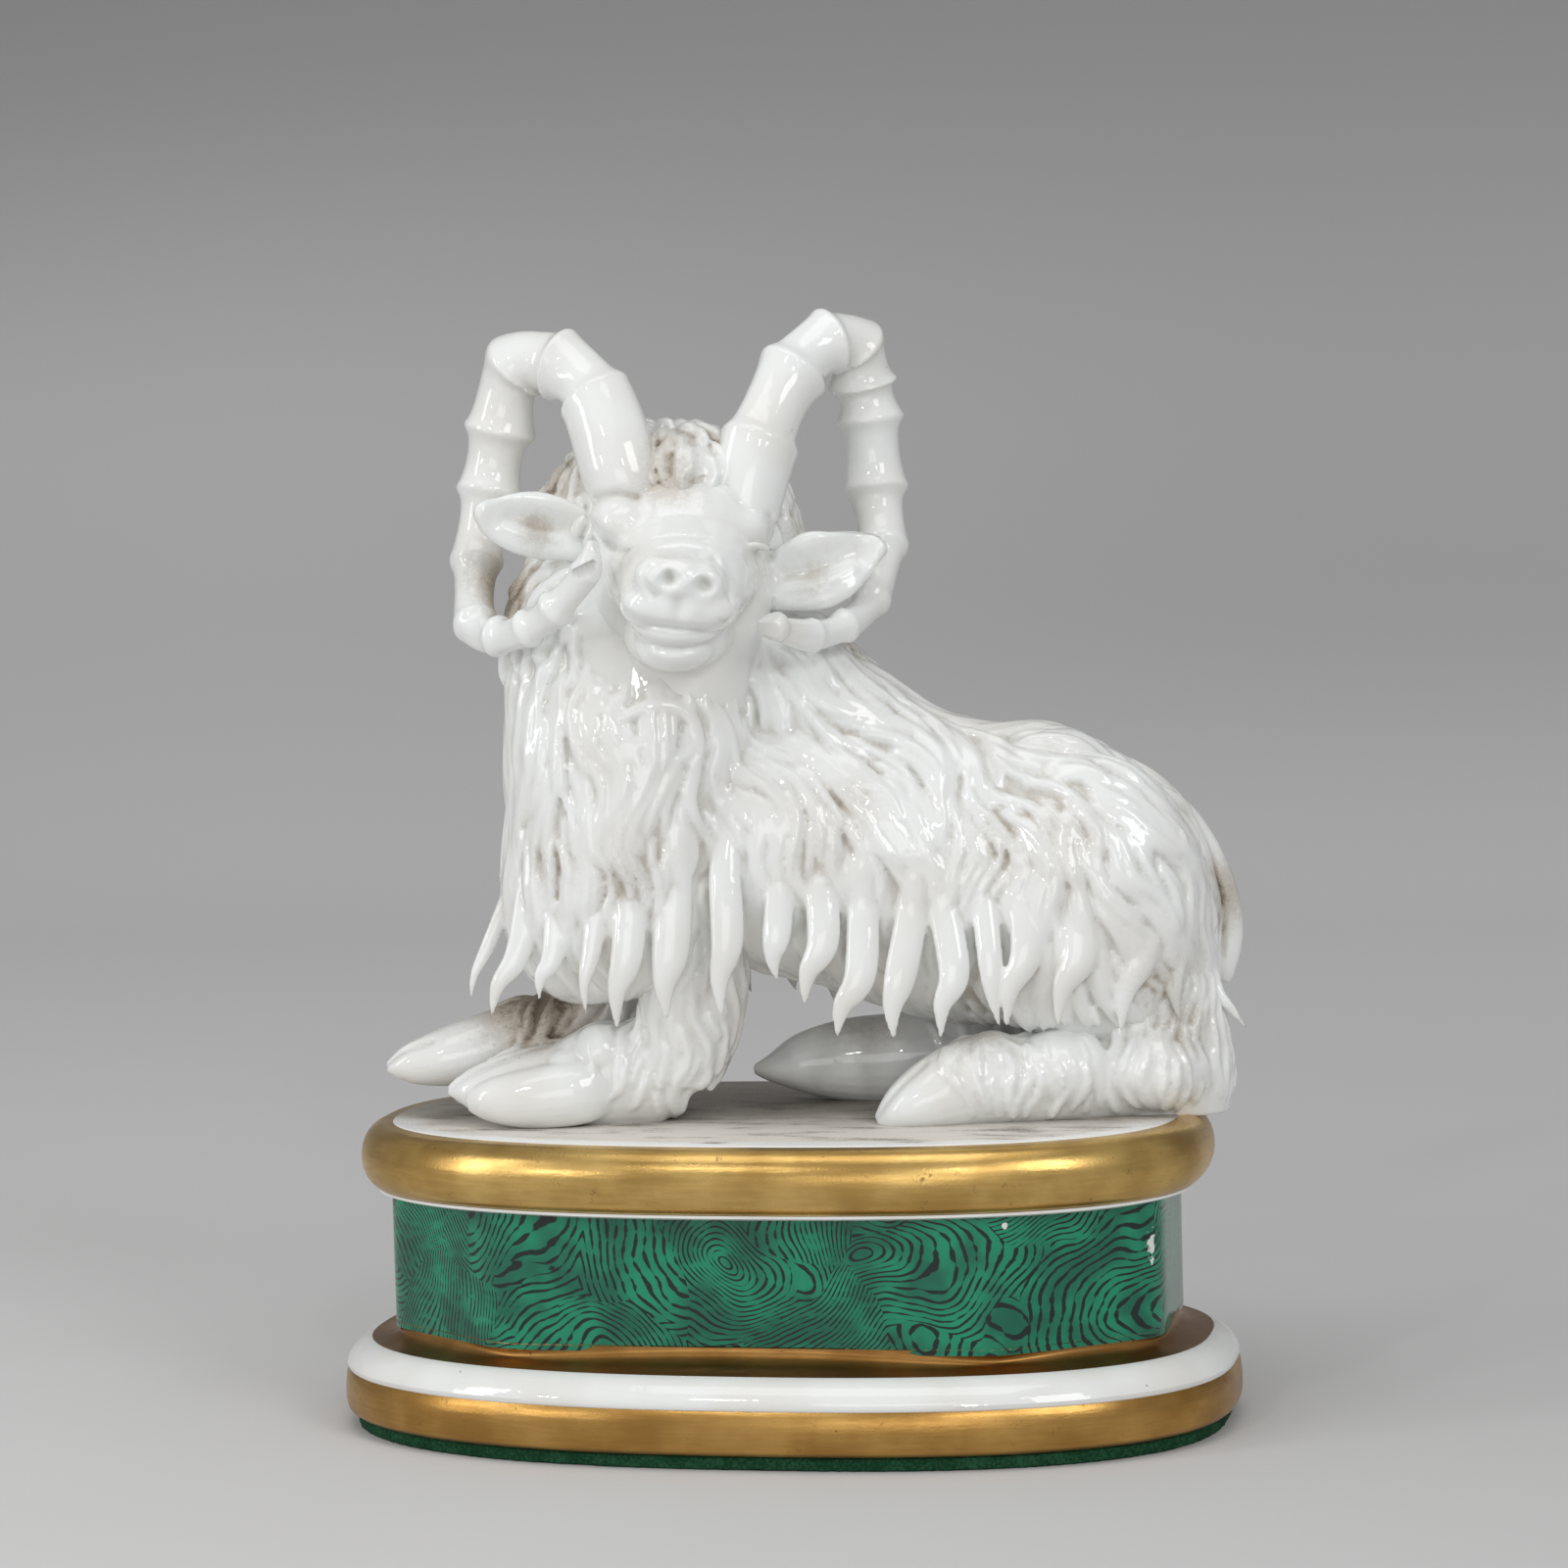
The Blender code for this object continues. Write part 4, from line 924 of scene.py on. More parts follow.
def walk(skin, start, length, steps, lowest):
    """Follows the combed way over the skin. Gives the spots, the normals and the sideways."""
    route, normals, sideways = [], [], []
    here = start
    for _ in range(steps + 1):
        spot, normal, _, _ = skin.find_nearest(here)
        if spot is None or spot.z < lowest:
            break
        way = comb(spot, normal)
        route.append(spot)
        normals.append(normal)
        sideways.append(normal.cross(way))
        here = spot + way * (length / steps)
    return np.array(route), np.array(normals), np.array(sideways)


def lay_strand(clay, skin, start, length, radius, lowest, lift):
    """One strand, thin at both its ends, half sunk in the skin."""
    steps = max(int(length / 0.0018), 4)
    route, normals, _ = walk(skin, start, length, steps, lowest)
    if len(route) < 5:
        return 0
    share = np.linspace(0, 1, len(route))
    swell = np.interp(share, (0, 0.12, 0.35, 0.65, 0.88, 1), (0.30, 0.75, 1.0, 0.95, 0.60, 0.15))
    rise = np.interp(share, (0, 0.2, 0.8, 1), (-0.0010, 0.3 * lift, lift, lift - 0.0003))
    own = radius * swell
    clay.roll(route + normals * rise[:, None], np.stack([own, own], axis=1), normals, 7)
    return 1


def lay_tuft(clay, skin, start, length, width, strands, lowest, lift):
    """A bundle of strands that lies over the others and runs to one pointed tip."""
    steps = max(int(length / 0.0020), 5)
    route, normals, sideways = walk(skin, start, length, steps, lowest)
    if len(route) < 6:
        return 0
    share = np.linspace(0, 1, len(route))
    spread = np.interp(share, (0, 0.3, 0.6, 0.9, 1), (0.75, 1.0, 0.85, 0.35, 0.06))
    swell = np.interp(share, (0, 0.12, 0.4, 0.7, 0.9, 1), (0.4, 0.85, 1.05, 0.92, 0.55, 0.14))
    rise = np.interp(share, (0, 0.25, 0.7, 1), (-0.0008, 0.0003, 0.7 * lift, lift))
    radius = 0.66 * width / strands
    for k in range(strands):
        offset = (k - (strands - 1) / 2) * width / strands
        centres = (route + sideways * (offset * spread)[:, None]
                   + normals * (rise - 0.22 * abs(offset))[:, None])
        own = radius * swell * (1.0 + 0.12 * math.sin(7 * k + 900 * start.x))
        clay.roll(centres, np.stack([own, own * 0.95], axis=1), normals, 7)
    return strands


def scatter(piece, spacing, seed):
    """Points of a skin at least spacing apart, taken in a seeded shuffle."""
    chance = random.Random(seed)
    spots = [vertex.co.copy() for vertex in piece.data.vertices]
    chance.shuffle(spots)
    chosen, taken = [], {}
    for spot in spots:
        cell = tuple(math.floor(value / spacing) for value in spot)
        near = [
            other
            for dx in (-1, 0, 1) for dy in (-1, 0, 1) for dz in (-1, 0, 1)
            for other in taken.get((cell[0] + dx, cell[1] + dy, cell[2] + dz), ())
        ]
        if all((spot - other).length > spacing for other in near):
            chosen.append(spot)
            taken.setdefault(cell, []).append(spot)
    return chosen


trunk_skin = surface_of(trunk_core)
leg_skin = surface_of(leg_core)
chance = random.Random(17)
strand_count = 0
for spot in scatter(trunk_core, STRAND_SPACING, 3):
    if not bare(spot) and spot.z > FLEECE_EDGE_Z + 0.001:
        short = 0.45 if spot.z > NECK_TOP_Z else 1.0
        strand_count += lay_strand(
            trunk_clay, trunk_skin, spot, chance.uniform(0.015, 0.030) * short,
            chance.uniform(0.0009, 0.0018), FLEECE_EDGE_Z, chance.uniform(0.0002, 0.0014))
for spot in scatter(trunk_core, TUFT_SPACING, 8):
    if not bare(spot) and 0.030 < spot.z < 0.112:
        strand_count += lay_tuft(
            trunk_clay, trunk_skin, spot, chance.uniform(0.018, 0.030),
            chance.uniform(0.0050, 0.0078), chance.choice((3, 3, 4)), FLEECE_EDGE_Z, 0.0017)
for spot in scatter(leg_core, STRAND_SPACING, 5):
    if not bare(spot) and spot.z > 0.002:
        strand_count += lay_strand(
            leg_clay, leg_skin, spot, chance.uniform(0.009, 0.018),
            chance.uniform(0.0006, 0.0013), LEG_EDGE_Z, chance.uniform(-0.0003, 0.0006))
for spot in scatter(leg_core, LEG_TUFT_SPACING, 6):
    if not bare(spot) and spot.z > 0.010:
        strand_count += lay_tuft(
            leg_clay, leg_skin, spot, chance.uniform(0.010, 0.015),
            chance.uniform(0.0035, 0.0052), 3, LEG_EDGE_Z, 0.0006)
print("strands of wool:", strand_count)

# %% [markdown]
# ## The hanging fringe, the beard and the tail
#
# Below the fleece hang separate claw-shaped locks, smooth and thick, and under the chin lie
# a few curls. They stand out most against the shadow of the belly, so each is given one by one:
# its root, its middle, its tip and its half width.

# %% Hang the locks
FRINGE = in_metres([    # root, middle, tip and half width of each lock
    ((-58.5, -8, 54), (-63.7, -9, 41), (-68, -10, 26.9), 1.7),
    ((-54, -15, 56), (-56.8, -18, 40), (-63.1, -19.5, 25.7), 2.9),
    ((-48, -20, 56), (-49, -22.5, 40), (-52.3, -23.5, 30), 2.6),
    ((-38.5, -24, 56), (-40.5, -26.2, 41), (-42.1, -27.5, 27), 2.3),
    ((-31.5, -25, 56), (-32.9, -27.5, 40), (-35.5, -28, 24), 3.6),
    ((-22.5, -24, 54), (-23.6, -26.2, 40), (-24.7, -26.5, 25.5), 4.2),
    ((-11.5, -23.5, 56), (-11.3, -26, 42), (-13, -26, 25.5), 3.6),
    ((0.8, -22.5, 56), (-0.6, -25, 43), (-0.8, -25, 33), 3.2),
    ((9, -23, 56), (9.4, -25.8, 41.5), (5, -26.2, 27.5), 3.6),
    ((18.2, -23.5, 49), (17.2, -26.8, 34), (11.8, -27.2, 20.5), 3.6),
    ((28.8, -24, 47), (25.8, -27.2, 33.5), (24, -27.8, 19.8), 3.6),
    ((35.6, -24.5, 48), (37.4, -27.8, 34), (34.2, -28, 20), 3.5),
    ((44.2, -24.5, 51), (45.2, -28, 36), (46.8, -28.5, 22.2), 2.8),
    ((53, -25, 52), (53, -28.2, 38), (48.4, -28.5, 22.2), 3.6),
    ((63.2, -25, 54), (64.6, -28.2, 38), (59.4, -28.5, 22), 4),
    ((77.2, -22.5, 50), (77.8, -25.5, 37), (73.2, -26.2, 20), 4),
    ((84.6, -17.5, 50), (85.2, -20.5, 37), (86.4, -21.5, 20.8), 3.3),
    ((93, -8, 40), (95.2, -10.5, 27), (102, -11.5, 17.5), 1.8),
])
CURLS = in_metres([    # x and z of the points of a curl, and its radius
    ([(-34.5, 89.6), (-31, 91.2), (-26.2, 92.8), (-21.2, 92.4), (-17.4, 89), (-17.6, 84), (-21.8, 81.2),
      (-26.8, 82.4)], 1.9),
    ([(-32.5, 87.2), (-29.2, 85), (-25.2, 84.8), (-22.2, 86.8), (-22.4, 89.4)], 1.7),
    ([(-45.1, 98.5), (-45, 91.8), (-42.2, 86.8), (-38, 85.8)], 1.7),
    ([(-48.4, 103.5), (-50.2, 97.7), (-50.1, 91.9)], 1.8),
    ([(-39.2, 100), (-38.5, 95), (-35.7, 90.8)], 1.7),
    ([(-4.9, 105.9), (-6.5, 101.7), (-5.1, 97.5), (-3.5, 101.7), (-4.9, 105.9)], 0.8),
    ([(-9.5, 105.6), (-10.1, 98.2), (-8.6, 91.9), (-7.9, 87.2)], 1.3),
    ([(-1.9, 105.4), (-0.4, 98), (2, 92.6), (4.8, 87.7)], 1.4),
    ([(-14, 101), (-14.8, 95), (-13.5, 89), (-14.2, 83)], 1.3),
    ([(-18.5, 96), (-17.8, 90), (-19, 84), (-18, 78)], 1.4),
])
TAIL = in_metres([
    (82, 1.5, 69, 3, 3), (88.3, 1.5, 65, 3.6, 3.4), (93.6, 1.5, 58, 3.6, 3.4), (97.6, 1, 49, 3.6, 3.2),
    (99.6, 1, 40.5, 3.3, 2.8), (99.5, 0.5, 33, 2.5, 2), (98.8, 0, 26.8, 0.9, 0.8),
])
FAR_FRINGE_FIRST_X = -0.0280
FAR_FRINGE_LAST_X = 0.0850
FAR_FRINGE_SPACING = 0.0098
FAR_FRINGE_TOP = 0.0540
FAR_FRINGE_TIP = 0.0215
LOCK_WIDE = (0.30, 0.75, 0.98, 1.0, 0.60, 0.12)
LOCK_SUNK = (0.0004, -0.0004)
LOCK_ROOT_RUN = 0.0085
HOOK_LEFT = 0.0008
LOCK_THICKNESS = 0.52


def hang_lock(clay, skin, root, middle, tip, half_width):
    """A claw-shaped lock. It grows out of the fleece above its root, then hooks to its tip."""
    root, middle, tip = np.array(root), np.array(middle), np.array(tip)
    above = []
    for k, sunk in enumerate(LOCK_SUNK):
        guess = root + (0.2 * (root[0] - middle[0]), 0.0, (2 - k) * LOCK_ROOT_RUN)
        spot, normal, _, _ = skin.find_nearest(Vector(guess))
        above.append(np.array(spot - normal * sunk))
    hook = 0.5 * (middle + tip)
    hook[0] = middle[0] + 0.62 * (tip[0] - middle[0]) - HOOK_LEFT
    hook[1] += -0.0006 if root[1] < 0 else 0.0006
    stations = [*above, root, middle, hook, tip]
    path = smooth_path([(*centre, wide) for centre, wide in zip(stations, LOCK_WIDE)], 7)
    wide = half_width * np.maximum(path[:, 3], 0.08)
    outward = (0, -1, 0) if root[1] < 0 else (0, 1, 0)
    clay.roll(path[:, :3], np.stack([wide, wide * LOCK_THICKNESS], axis=1), outward, 16)


for lock in FRINGE:
    hang_lock(trunk_clay, trunk_skin, *lock)
for points, radius in CURLS:
    route = []
    for x, _, z in smooth_path([(x, 0.0, z) for x, z in points], 6):
        spot = trunk_skin.ray_cast(Vector((x, -0.1, z)), Vector((0, 1, 0)))[0]
        route.append((x, spot.y - 0.1 * radius, z))
    taper = np.interp(np.linspace(0, 1, len(route)), (0, 0.25, 0.7, 1), (0.55, 1.0, 0.9, 0.45))
    halves = np.stack([radius * taper, radius * taper], axis=1)
    trunk_clay.roll(np.array(route), halves, (0, -1, 0), 10)
lock_count = 0
for x in np.arange(FAR_FRINGE_FIRST_X, FAR_FRINGE_LAST_X, FAR_FRINGE_SPACING):
    root = trunk_skin.ray_cast(Vector((x, 1.0, FAR_FRINGE_TOP)), Vector((0, -1, 0)))[0]
    if root is None:
        continue
    out = root.y + 0.0015
    lean = chance.uniform(-0.0040, 0.0050)
    tip = FAR_FRINGE_TIP + chance.uniform(-0.0020, 0.0050)
    middle = (x + chance.uniform(-0.0010, 0.0010), out, (FAR_FRINGE_TOP + tip) / 2)
    hang_lock(trunk_clay, trunk_skin, (x, root.y, FAR_FRINGE_TOP), middle, (x + lean, out, tip),
              chance.uniform(0.0024, 0.0042))
    lock_count += 1
trunk_clay.limb(TAIL, up=(0, 1, 0), sides=14)
print("locks on the far side:", lock_count)

# %% [markdown]
# ## One skin over the wool
#
# The clay is remeshed finely enough to keep the grooves between strands, smoothed as the
# glaze smooths them, and thinned where it is flat, so that the triangles stay in the wool.

# %% Skin the trunk and the legs
WOOL_VOXEL = 0.00052 * COARSE
CLEFT_WIDTH = 0.0009
CLEFT_DEPTH = 0.0013
CLEFT_FACING = Vector((0, -1, 0.35)).normalized()
TRIANGLES = 196000
CLEFTS = in_metres([
    [(-73.6, -8, 9.1), (-71.8, -9, 10.7), (-68.6, -10, 13.1), (-61.3, -9, 16)],
    [(-88.7, 6, 12.8), (-84.8, 5, 15.9), (-78.1, 4, 18)],
    [(19.6, -24, 2.5), (24.4, -26, 8.8), (30.9, -25, 14.5)],
])

trunk = trunk_clay.skin("ram_trunk", WOOL_VOXEL, 2)
legs = leg_clay.skin("ram_legs", WOOL_VOXEL, 4)
for cleft in CLEFTS:
    press(legs, cleft, CLEFT_WIDTH, CLEFT_DEPTH, CLEFT_FACING)
print("trunk", len(trunk.data.polygons), "legs", len(legs.data.polygons), "faces before thinning")

# %% [markdown]
# ## Head and horns
#
# The face is smooth glaze over pellets of clay: a broad nose bridge, a round snout with two
# nostrils, plump lips, brow ridges and heavy lids. Creases are pressed in after the skin is
# made. Each horn is a row of flaring sleeves, one pushed into the next.

# %% Shape the head
HEAD_BLOCK = in_metres([
    (-18.3, -5, 136.2, 11, 8.5), (-18.3, -8.5, 133, 16.5, 13.2), (-18.5, -10.5, 128, 18.6, 15.5),
    (-18.7, -11, 121.4, 18.8, 16), (-19.2, -10.5, 112.9, 18.4, 16), (-19.9, -8.5, 106.4, 17.8, 15.8),
    (-20.5, -7, 100, 17.5, 16.2), (-21.1, -5, 93, 16.5, 16.8),
])
MUZZLE = in_metres([
    (-18.7, -16, 122, 17.5, 15), (-18.7, -23, 120.5, 16.4, 13), (-18.6, -29.5, 118.5, 15, 11.2),
    (-18.6, -35, 116.6, 13, 9.6), (-18.7, -39.5, 115.7, 10, 7.8), (-18.7, -42.8, 115.3, 6.6, 5.4),
    (-18.7, -44.2, 115.2, 3, 2.6),
])
BRIDGE = in_metres([
    (-17.7, -16.5, 132.2, 7.4, 3.4), (-17.8, -23.5, 129.4, 8, 4.2), (-18, -30.8, 125.6, 7.8, 3.8),
    (-18.4, -37.2, 122.6, 7, 3.2), (-18.6, -41, 120.8, 5.8, 2.5),
])
LOWER_LIP = in_metres([
    (-29, -29, 111.8, 1.6, 1.2), (-25.5, -33.8, 109.6, 2.8, 1.6), (-20.3, -36.8, 108.4, 3.4, 1.8),
    (-15.2, -35.2, 108.3, 2.8, 1.6), (-11, -29.6, 109.9, 1.6, 1.2),
])
LID_RIGHT = in_metres([
    (-6.6, -22.2, 125, 0.7, 0.7), (-3.4, -23.4, 126.7, 1.1, 1), (0, -20, 126, 0.8, 0.8),
])
FACE_BALLS = in_metres([
    (-23.4, -40.5, 121.2, 5.4, 5.2, 5), (-18.7, -41.2, 120.6, 6.2, 5.4, 5),
    (-14.2, -40.5, 119.7, 5.4, 5.2, 5), (-25, -37, 115.2, 7.2, 6.4, 5), (-13.4, -37, 114, 7.2, 6.4, 5),
    (-20.5, -29, 106, 8.8, 8.6, 5.6), (-20, -21.5, 108.5, 12.2, 13, 8.5),
    (-29.5, -13, 119, 9.6, 12, 16), (-8.5, -13, 117.5, 9.4, 12, 15), (-31.4, -15, 132.5, 8, 9.8, 6.2),
    (-5.6, -11.8, 130.8, 7.2, 8.6, 5.8),
])
EAR_LEFT = in_metres([
    (-36, -8, 127.5, 5), (-43.3, -13, 130.6, 6.4), (-48.9, -16, 132.2, 7.3), (-54, -18.5, 133.2, 6.8),
    (-58.7, -20.5, 134.4, 5), (-61.3, -21.5, 135.4, 3.2), (-63.2, -21.8, 135.8, 1.4),
])
EAR_RIGHT = in_metres([
    (-1, -8, 118, 5.8), (4.9, -11.5, 119.5, 7.6), (9.6, -13, 120.7, 8.8), (14.3, -13, 122, 8),
    (18.6, -12, 123.8, 6), (22.5, -10, 125, 3.8), (25.4, -8.5, 125.2, 1.5),
])
EAR_LEFT_FACING = Vector((-0.25, -1, 0.1)).normalized()
EAR_RIGHT_FACING = Vector((0.1, -1, 0.1)).normalized()
EAR_THICKNESS = 0.0074


def shape_ear(clay, stations, facing):
    """A thick soft leaf of clay."""
    path = smooth_path(stations, 6)
    wide = np.maximum(path[:, 3], 0.0005)
    thick = np.minimum(wide, EAR_THICKNESS / 2 * np.linspace(1.15, 0.7, len(path)))
    clay.roll(path[:, :3], np.stack([wide, thick], axis=1), facing, 20)


FACE_VOXEL = 0.0008
face_clay = Clay()
face_clay.limb(HEAD_BLOCK, up=(0, 1, 0))
for stations in (MUZZLE, BRIDGE):
    face_clay.limb(stations)
for ball in FACE_BALLS:
    face_clay.ball(ball)
face = face_clay.skin("face", FACE_VOXEL, 9)

head_clay = Clay()
head_clay.lump(face)
bpy.data.objects.remove(face)
for stations in (LOWER_LIP, LID_RIGHT):
    head_clay.limb(stations)
shape_ear(head_clay, EAR_LEFT, EAR_LEFT_FACING)
shape_ear(head_clay, EAR_RIGHT, EAR_RIGHT_FACING)
print("face pellets:", len(FACE_BALLS))

# %% [markdown]
# ## The horns
#
# Each horn is given by its rings, from root to tip: where each ring is and how wide. Past the
# smooth root, each span starts narrow and flares to the rounded lip of the next ring. A low
# keel runs along the outer side, as on a real horn.

# %% Shape the horns
HORN_LEFT = in_metres([
    (-28, -10, 131.3, 7.7), (-31.5, -11.5, 143, 8.7), (-36.9, -6, 159.6, 8.3), (-44.9, 0, 166.9, 7.9),
    (-54.6, 4.5, 166.4, 7.8), (-58.7, 7, 152.8, 7.8), (-61.5, 7, 139.2, 7.1), (-64.5, 3, 124, 5.8),
    (-64.3, -8, 111, 4.9), (-58.7, -16, 108.6, 4.5), (-51.9, -23, 110.6, 4.3),
    (-45.7, -28, 114.9, 4.3), (-38.7, -34, 123, 3.3), (-37.6, -36, 129.2, 0.9),
])
HORN_RIGHT = in_metres([
    (-5, -11, 133, 7.4), (-1.3, -8, 148.8, 8.7), (6.6, -1, 164.2, 7.9), (14.6, 4, 170.4, 7.3),
    (20.5, 8, 169, 7), (21.9, 11, 161.2, 7.7), (23.3, 11.5, 153.1, 7.4), (24.2, 11.5, 137.7, 7.1),
    (25, 6, 125.1, 5.8), (22, -3, 114, 4.4), (15.6, -13, 108.6, 3.8), (8.5, -20.5, 107.2, 3.6),
    (2.2, -28.5, 108.8, 2.7),
])
HORN_RIGHT_END = in_metres((0.6, -30.8, 109.5, 3.7, 3.4, 3.6))
LOOP_LEFT = (-0.047, 0.0, 0.136)
LOOP_RIGHT = (0.010, 0.0, 0.138)
SLEEVE_AT = (0.0, 0.06, 0.13, 0.22, 0.40, 0.60, 0.78, 0.88, 0.95)
SLEEVE_WIDE = (1.03, 0.96, 0.87, 0.82, 0.80, 0.83, 0.90, 0.97, 1.04)
KEEL = 0.06


def shape_horn(clay, rings, loop_middle, smooth_spans, sides=40):
    """A horn of flaring sleeves past its smooth root, with a keel away from its loop."""
    steps = 24
    path = smooth_path(rings, steps)
    share = np.tile(np.arange(steps) / steps, len(rings) - 1)
    sleeve = np.append(np.interp(share, SLEEVE_AT, SLEEVE_WIDE), 1.0)
    sleeve[:smooth_spans * steps] = 1.0
    sleeve[-steps:] = 1.0
    centres = path[:, :3]
    ahead = np.gradient(centres, axis=0)
    ahead /= np.linalg.norm(ahead, axis=1)[:, None]
    out = centres - np.array(loop_middle)
    out -= ahead * np.sum(out * ahead, axis=1)[:, None]
    out /= np.linalg.norm(out, axis=1)[:, None]
    side = np.cross(ahead, out)
    angles = 2 * np.pi * np.arange(sides) / sides
    keel = 1.0 + KEEL * np.exp(-(np.minimum(angles, 2 * np.pi - angles) / 0.35) ** 2)
    radii = (path[:, 3] * sleeve)[:, None] * keel
    rings = (centres[:, None] + out[:, None] * (radii * np.cos(angles))[:, :, None]
             + side[:, None] * (radii * np.sin(angles))[:, :, None])
    clay.add_rings(rings)


shape_horn(head_clay, HORN_LEFT, LOOP_LEFT, 2)
shape_horn(head_clay, HORN_RIGHT, LOOP_RIGHT, 1)
head_clay.ball(HORN_RIGHT_END)
HEAD_VOXEL = 0.00048 * COARSE
head = head_clay.skin("ram_head", HEAD_VOXEL, 4)
print("head", len(head.data.polygons), "faces before creasing")

# %% [markdown]
# ## Creases of the face
#
# A modeller draws the mouth, the eyelids and the wrinkles with a wooden tool. Each crease is
# a line of points, and the skin near it is pressed back, most in the middle of the groove.
# Where the horns have lost their tips, the clay is shaved flat.

# %% Press the creases
FORWARD = Vector((0, -1, 0))
EAR_REACH = 0.006
CREASES = in_metres([    # points along a crease, its width and its depth
    ([(-31.2, -32, 116.6), (-30, -35, 113.2), (-26.8, -39, 111.4), (-22.8, -42, 110.8),
      (-18.5, -43, 110.2), (-14.4, -41, 109.7), (-11.1, -37, 110.3), (-9.2, -34, 112.4)], 0.9, 2.4),
    ([(-19.3, -44, 116), (-19.6, -43, 112)], 1.6, 0.9),
    ([(-28.6, -33, 107.5), (-23.9, -37, 106.3), (-18.9, -37, 105.9), (-13.6, -33, 106.7)], 1.1, 1.2),
    ([(-38.2, -18, 132.2), (-34.8, -21, 128.5), (-31.8, -23, 126.4), (-28.3, -24, 126)], 1, 3),
    ([(-36.8, -20, 138), (-32.5, -22, 138.8), (-28.2, -21, 138)], 0.9, 1.4),
    ([(-35, -22, 135.2), (-32.5, -23, 136)], 0.5, 0.4),
    ([(-3.1, -23, 124.3)], 2.1, 2.6),
    ([(0.4, -17, 133), (1, -16, 125.6), (-0.4, -17, 122.7), (-0.2, -16, 117.3)], 0.9, 1.4),
    ([(-28.5, -29, 108.4), (-26.2, -32, 104.2), (-23.6, -32, 101.8)], 1, 0.8),
    ([(-25.2, -38, 123.2), (-26.2, -38, 120), (-24, -40, 117.6)], 1, 1),
    ([(-23.2, -40, 126.8), (-18.1, -41, 127.2), (-12.9, -40, 126.2)], 0.6, 0.6),
    ([(-24, -38, 129), (-18, -39, 129.6), (-12.5, -38, 128.6)], 0.7, 0.5),
    ([(-11.8, -38, 124.6), (-10, -36, 120), (-8.8, -34, 115.6)], 0.9, 0.7),
    ([(-21, -45.5, 120.9)], 1.7, 3),
    ([(-13.6, -45.5, 119.4)], 1.7, 3),
])
RIDGES = in_metres([    # points along a ridge, its width and its height
    ([(-23.2, -41, 125), (-18.1, -42, 125.4), (-12.9, -41, 124.6)], 0.7, 0.5),
    ([(-10.3, -33, 124.3), (-8.6, -31, 119.2), (-7, -28, 114.9)], 0.8, 0.8),
    ([(-6.3, -22.5, 123.9), (-6, -22, 120.5), (-3.7, -19, 117.2)], 0.7, 0.8),
    ([(-23.2, -46, 121.8), (-21.2, -46, 123.2), (-19, -46, 122.2)], 0.6, 0.6),
    ([(-16, -46, 120.6), (-14.2, -46, 121.6), (-12.2, -46, 120.4)], 0.6, 0.6),
    ([(4.2, -12, 133.9), (2.8, -13, 129.3), (1.2, -13, 125.1)], 0.9, 1),
])
EAR_LEFT_LINES = in_metres([
    ([(-42.5, -17, 131.2), (-49.3, -20, 133), (-56, -22, 135)], 4.2, 5),
    ([(-45, -14, 129.2), (-50, -16, 130), (-56, -19, 132.2)], 1.2, -1),
])
EAR_RIGHT_LINES = in_metres([
    ([(4.5, -14.5, 120.3), (11, -16, 122), (19, -14, 124.6)], 5.2, 5.2),
    ([(4, -12, 117.2), (11, -13, 118), (18, -12, 121)], 1.4, -1.2),
])
CHIPS = [    # a point in millimetres, the way the chip faces, and its reach in millimetres
    ((-37.2, -37.5, 127), (0.75, -0.55, 0.35), 5),
    ((-39.5, -36, 124), (0.35, -0.2, -0.9), 3),
    ((-38.5, -33, 129), (-0.2, 0.3, 0.93), 3),
    ((-1.1, -32.2, 109.1), (-0.75, -0.62, -0.2), 4.5),
    ((-0.2, -31.6, 111.4), (-0.35, -0.35, 0.87), 4.5),
    ((-0.3, -31.5, 107.6), (-0.4, -0.3, -0.86), 4.5),
    ((0.6, -33.5, 110), (-0.45, -0.8, -0.4), 4.5),
]
for line, width, depth in CREASES:
    press(head, line, width, depth, FORWARD)
for line, width, height in RIDGES:
    press(head, line, width, -height, FORWARD)
for lines, facing in ((EAR_LEFT_LINES, EAR_LEFT_FACING), (EAR_RIGHT_LINES, EAR_RIGHT_FACING)):
    for line, width, depth in lines:
        press(head, line, width, depth, facing, EAR_REACH)
finish_with(head, "SMOOTH", factor=0.5, iterations=2)
for point, outward, reach in CHIPS:
    shave(head, in_metres(point), outward, in_metres(reach))
print("creases:", len(CREASES), "ridges:", len(RIDGES), "chips:", len(CHIPS))

# %% [markdown]
# ## Dust and painted shade in the hollows
#
# Dust settles where a cloth can't reach. The skin is compared with a smoothed copy of
# itself: where the copy lies outside, there is a hollow, and the glaze paints each hollow grey
# as shade. Around a few spots the real figure is dustier, so hollows there count for more; the
# spot at the far hind hoof paints shade there.

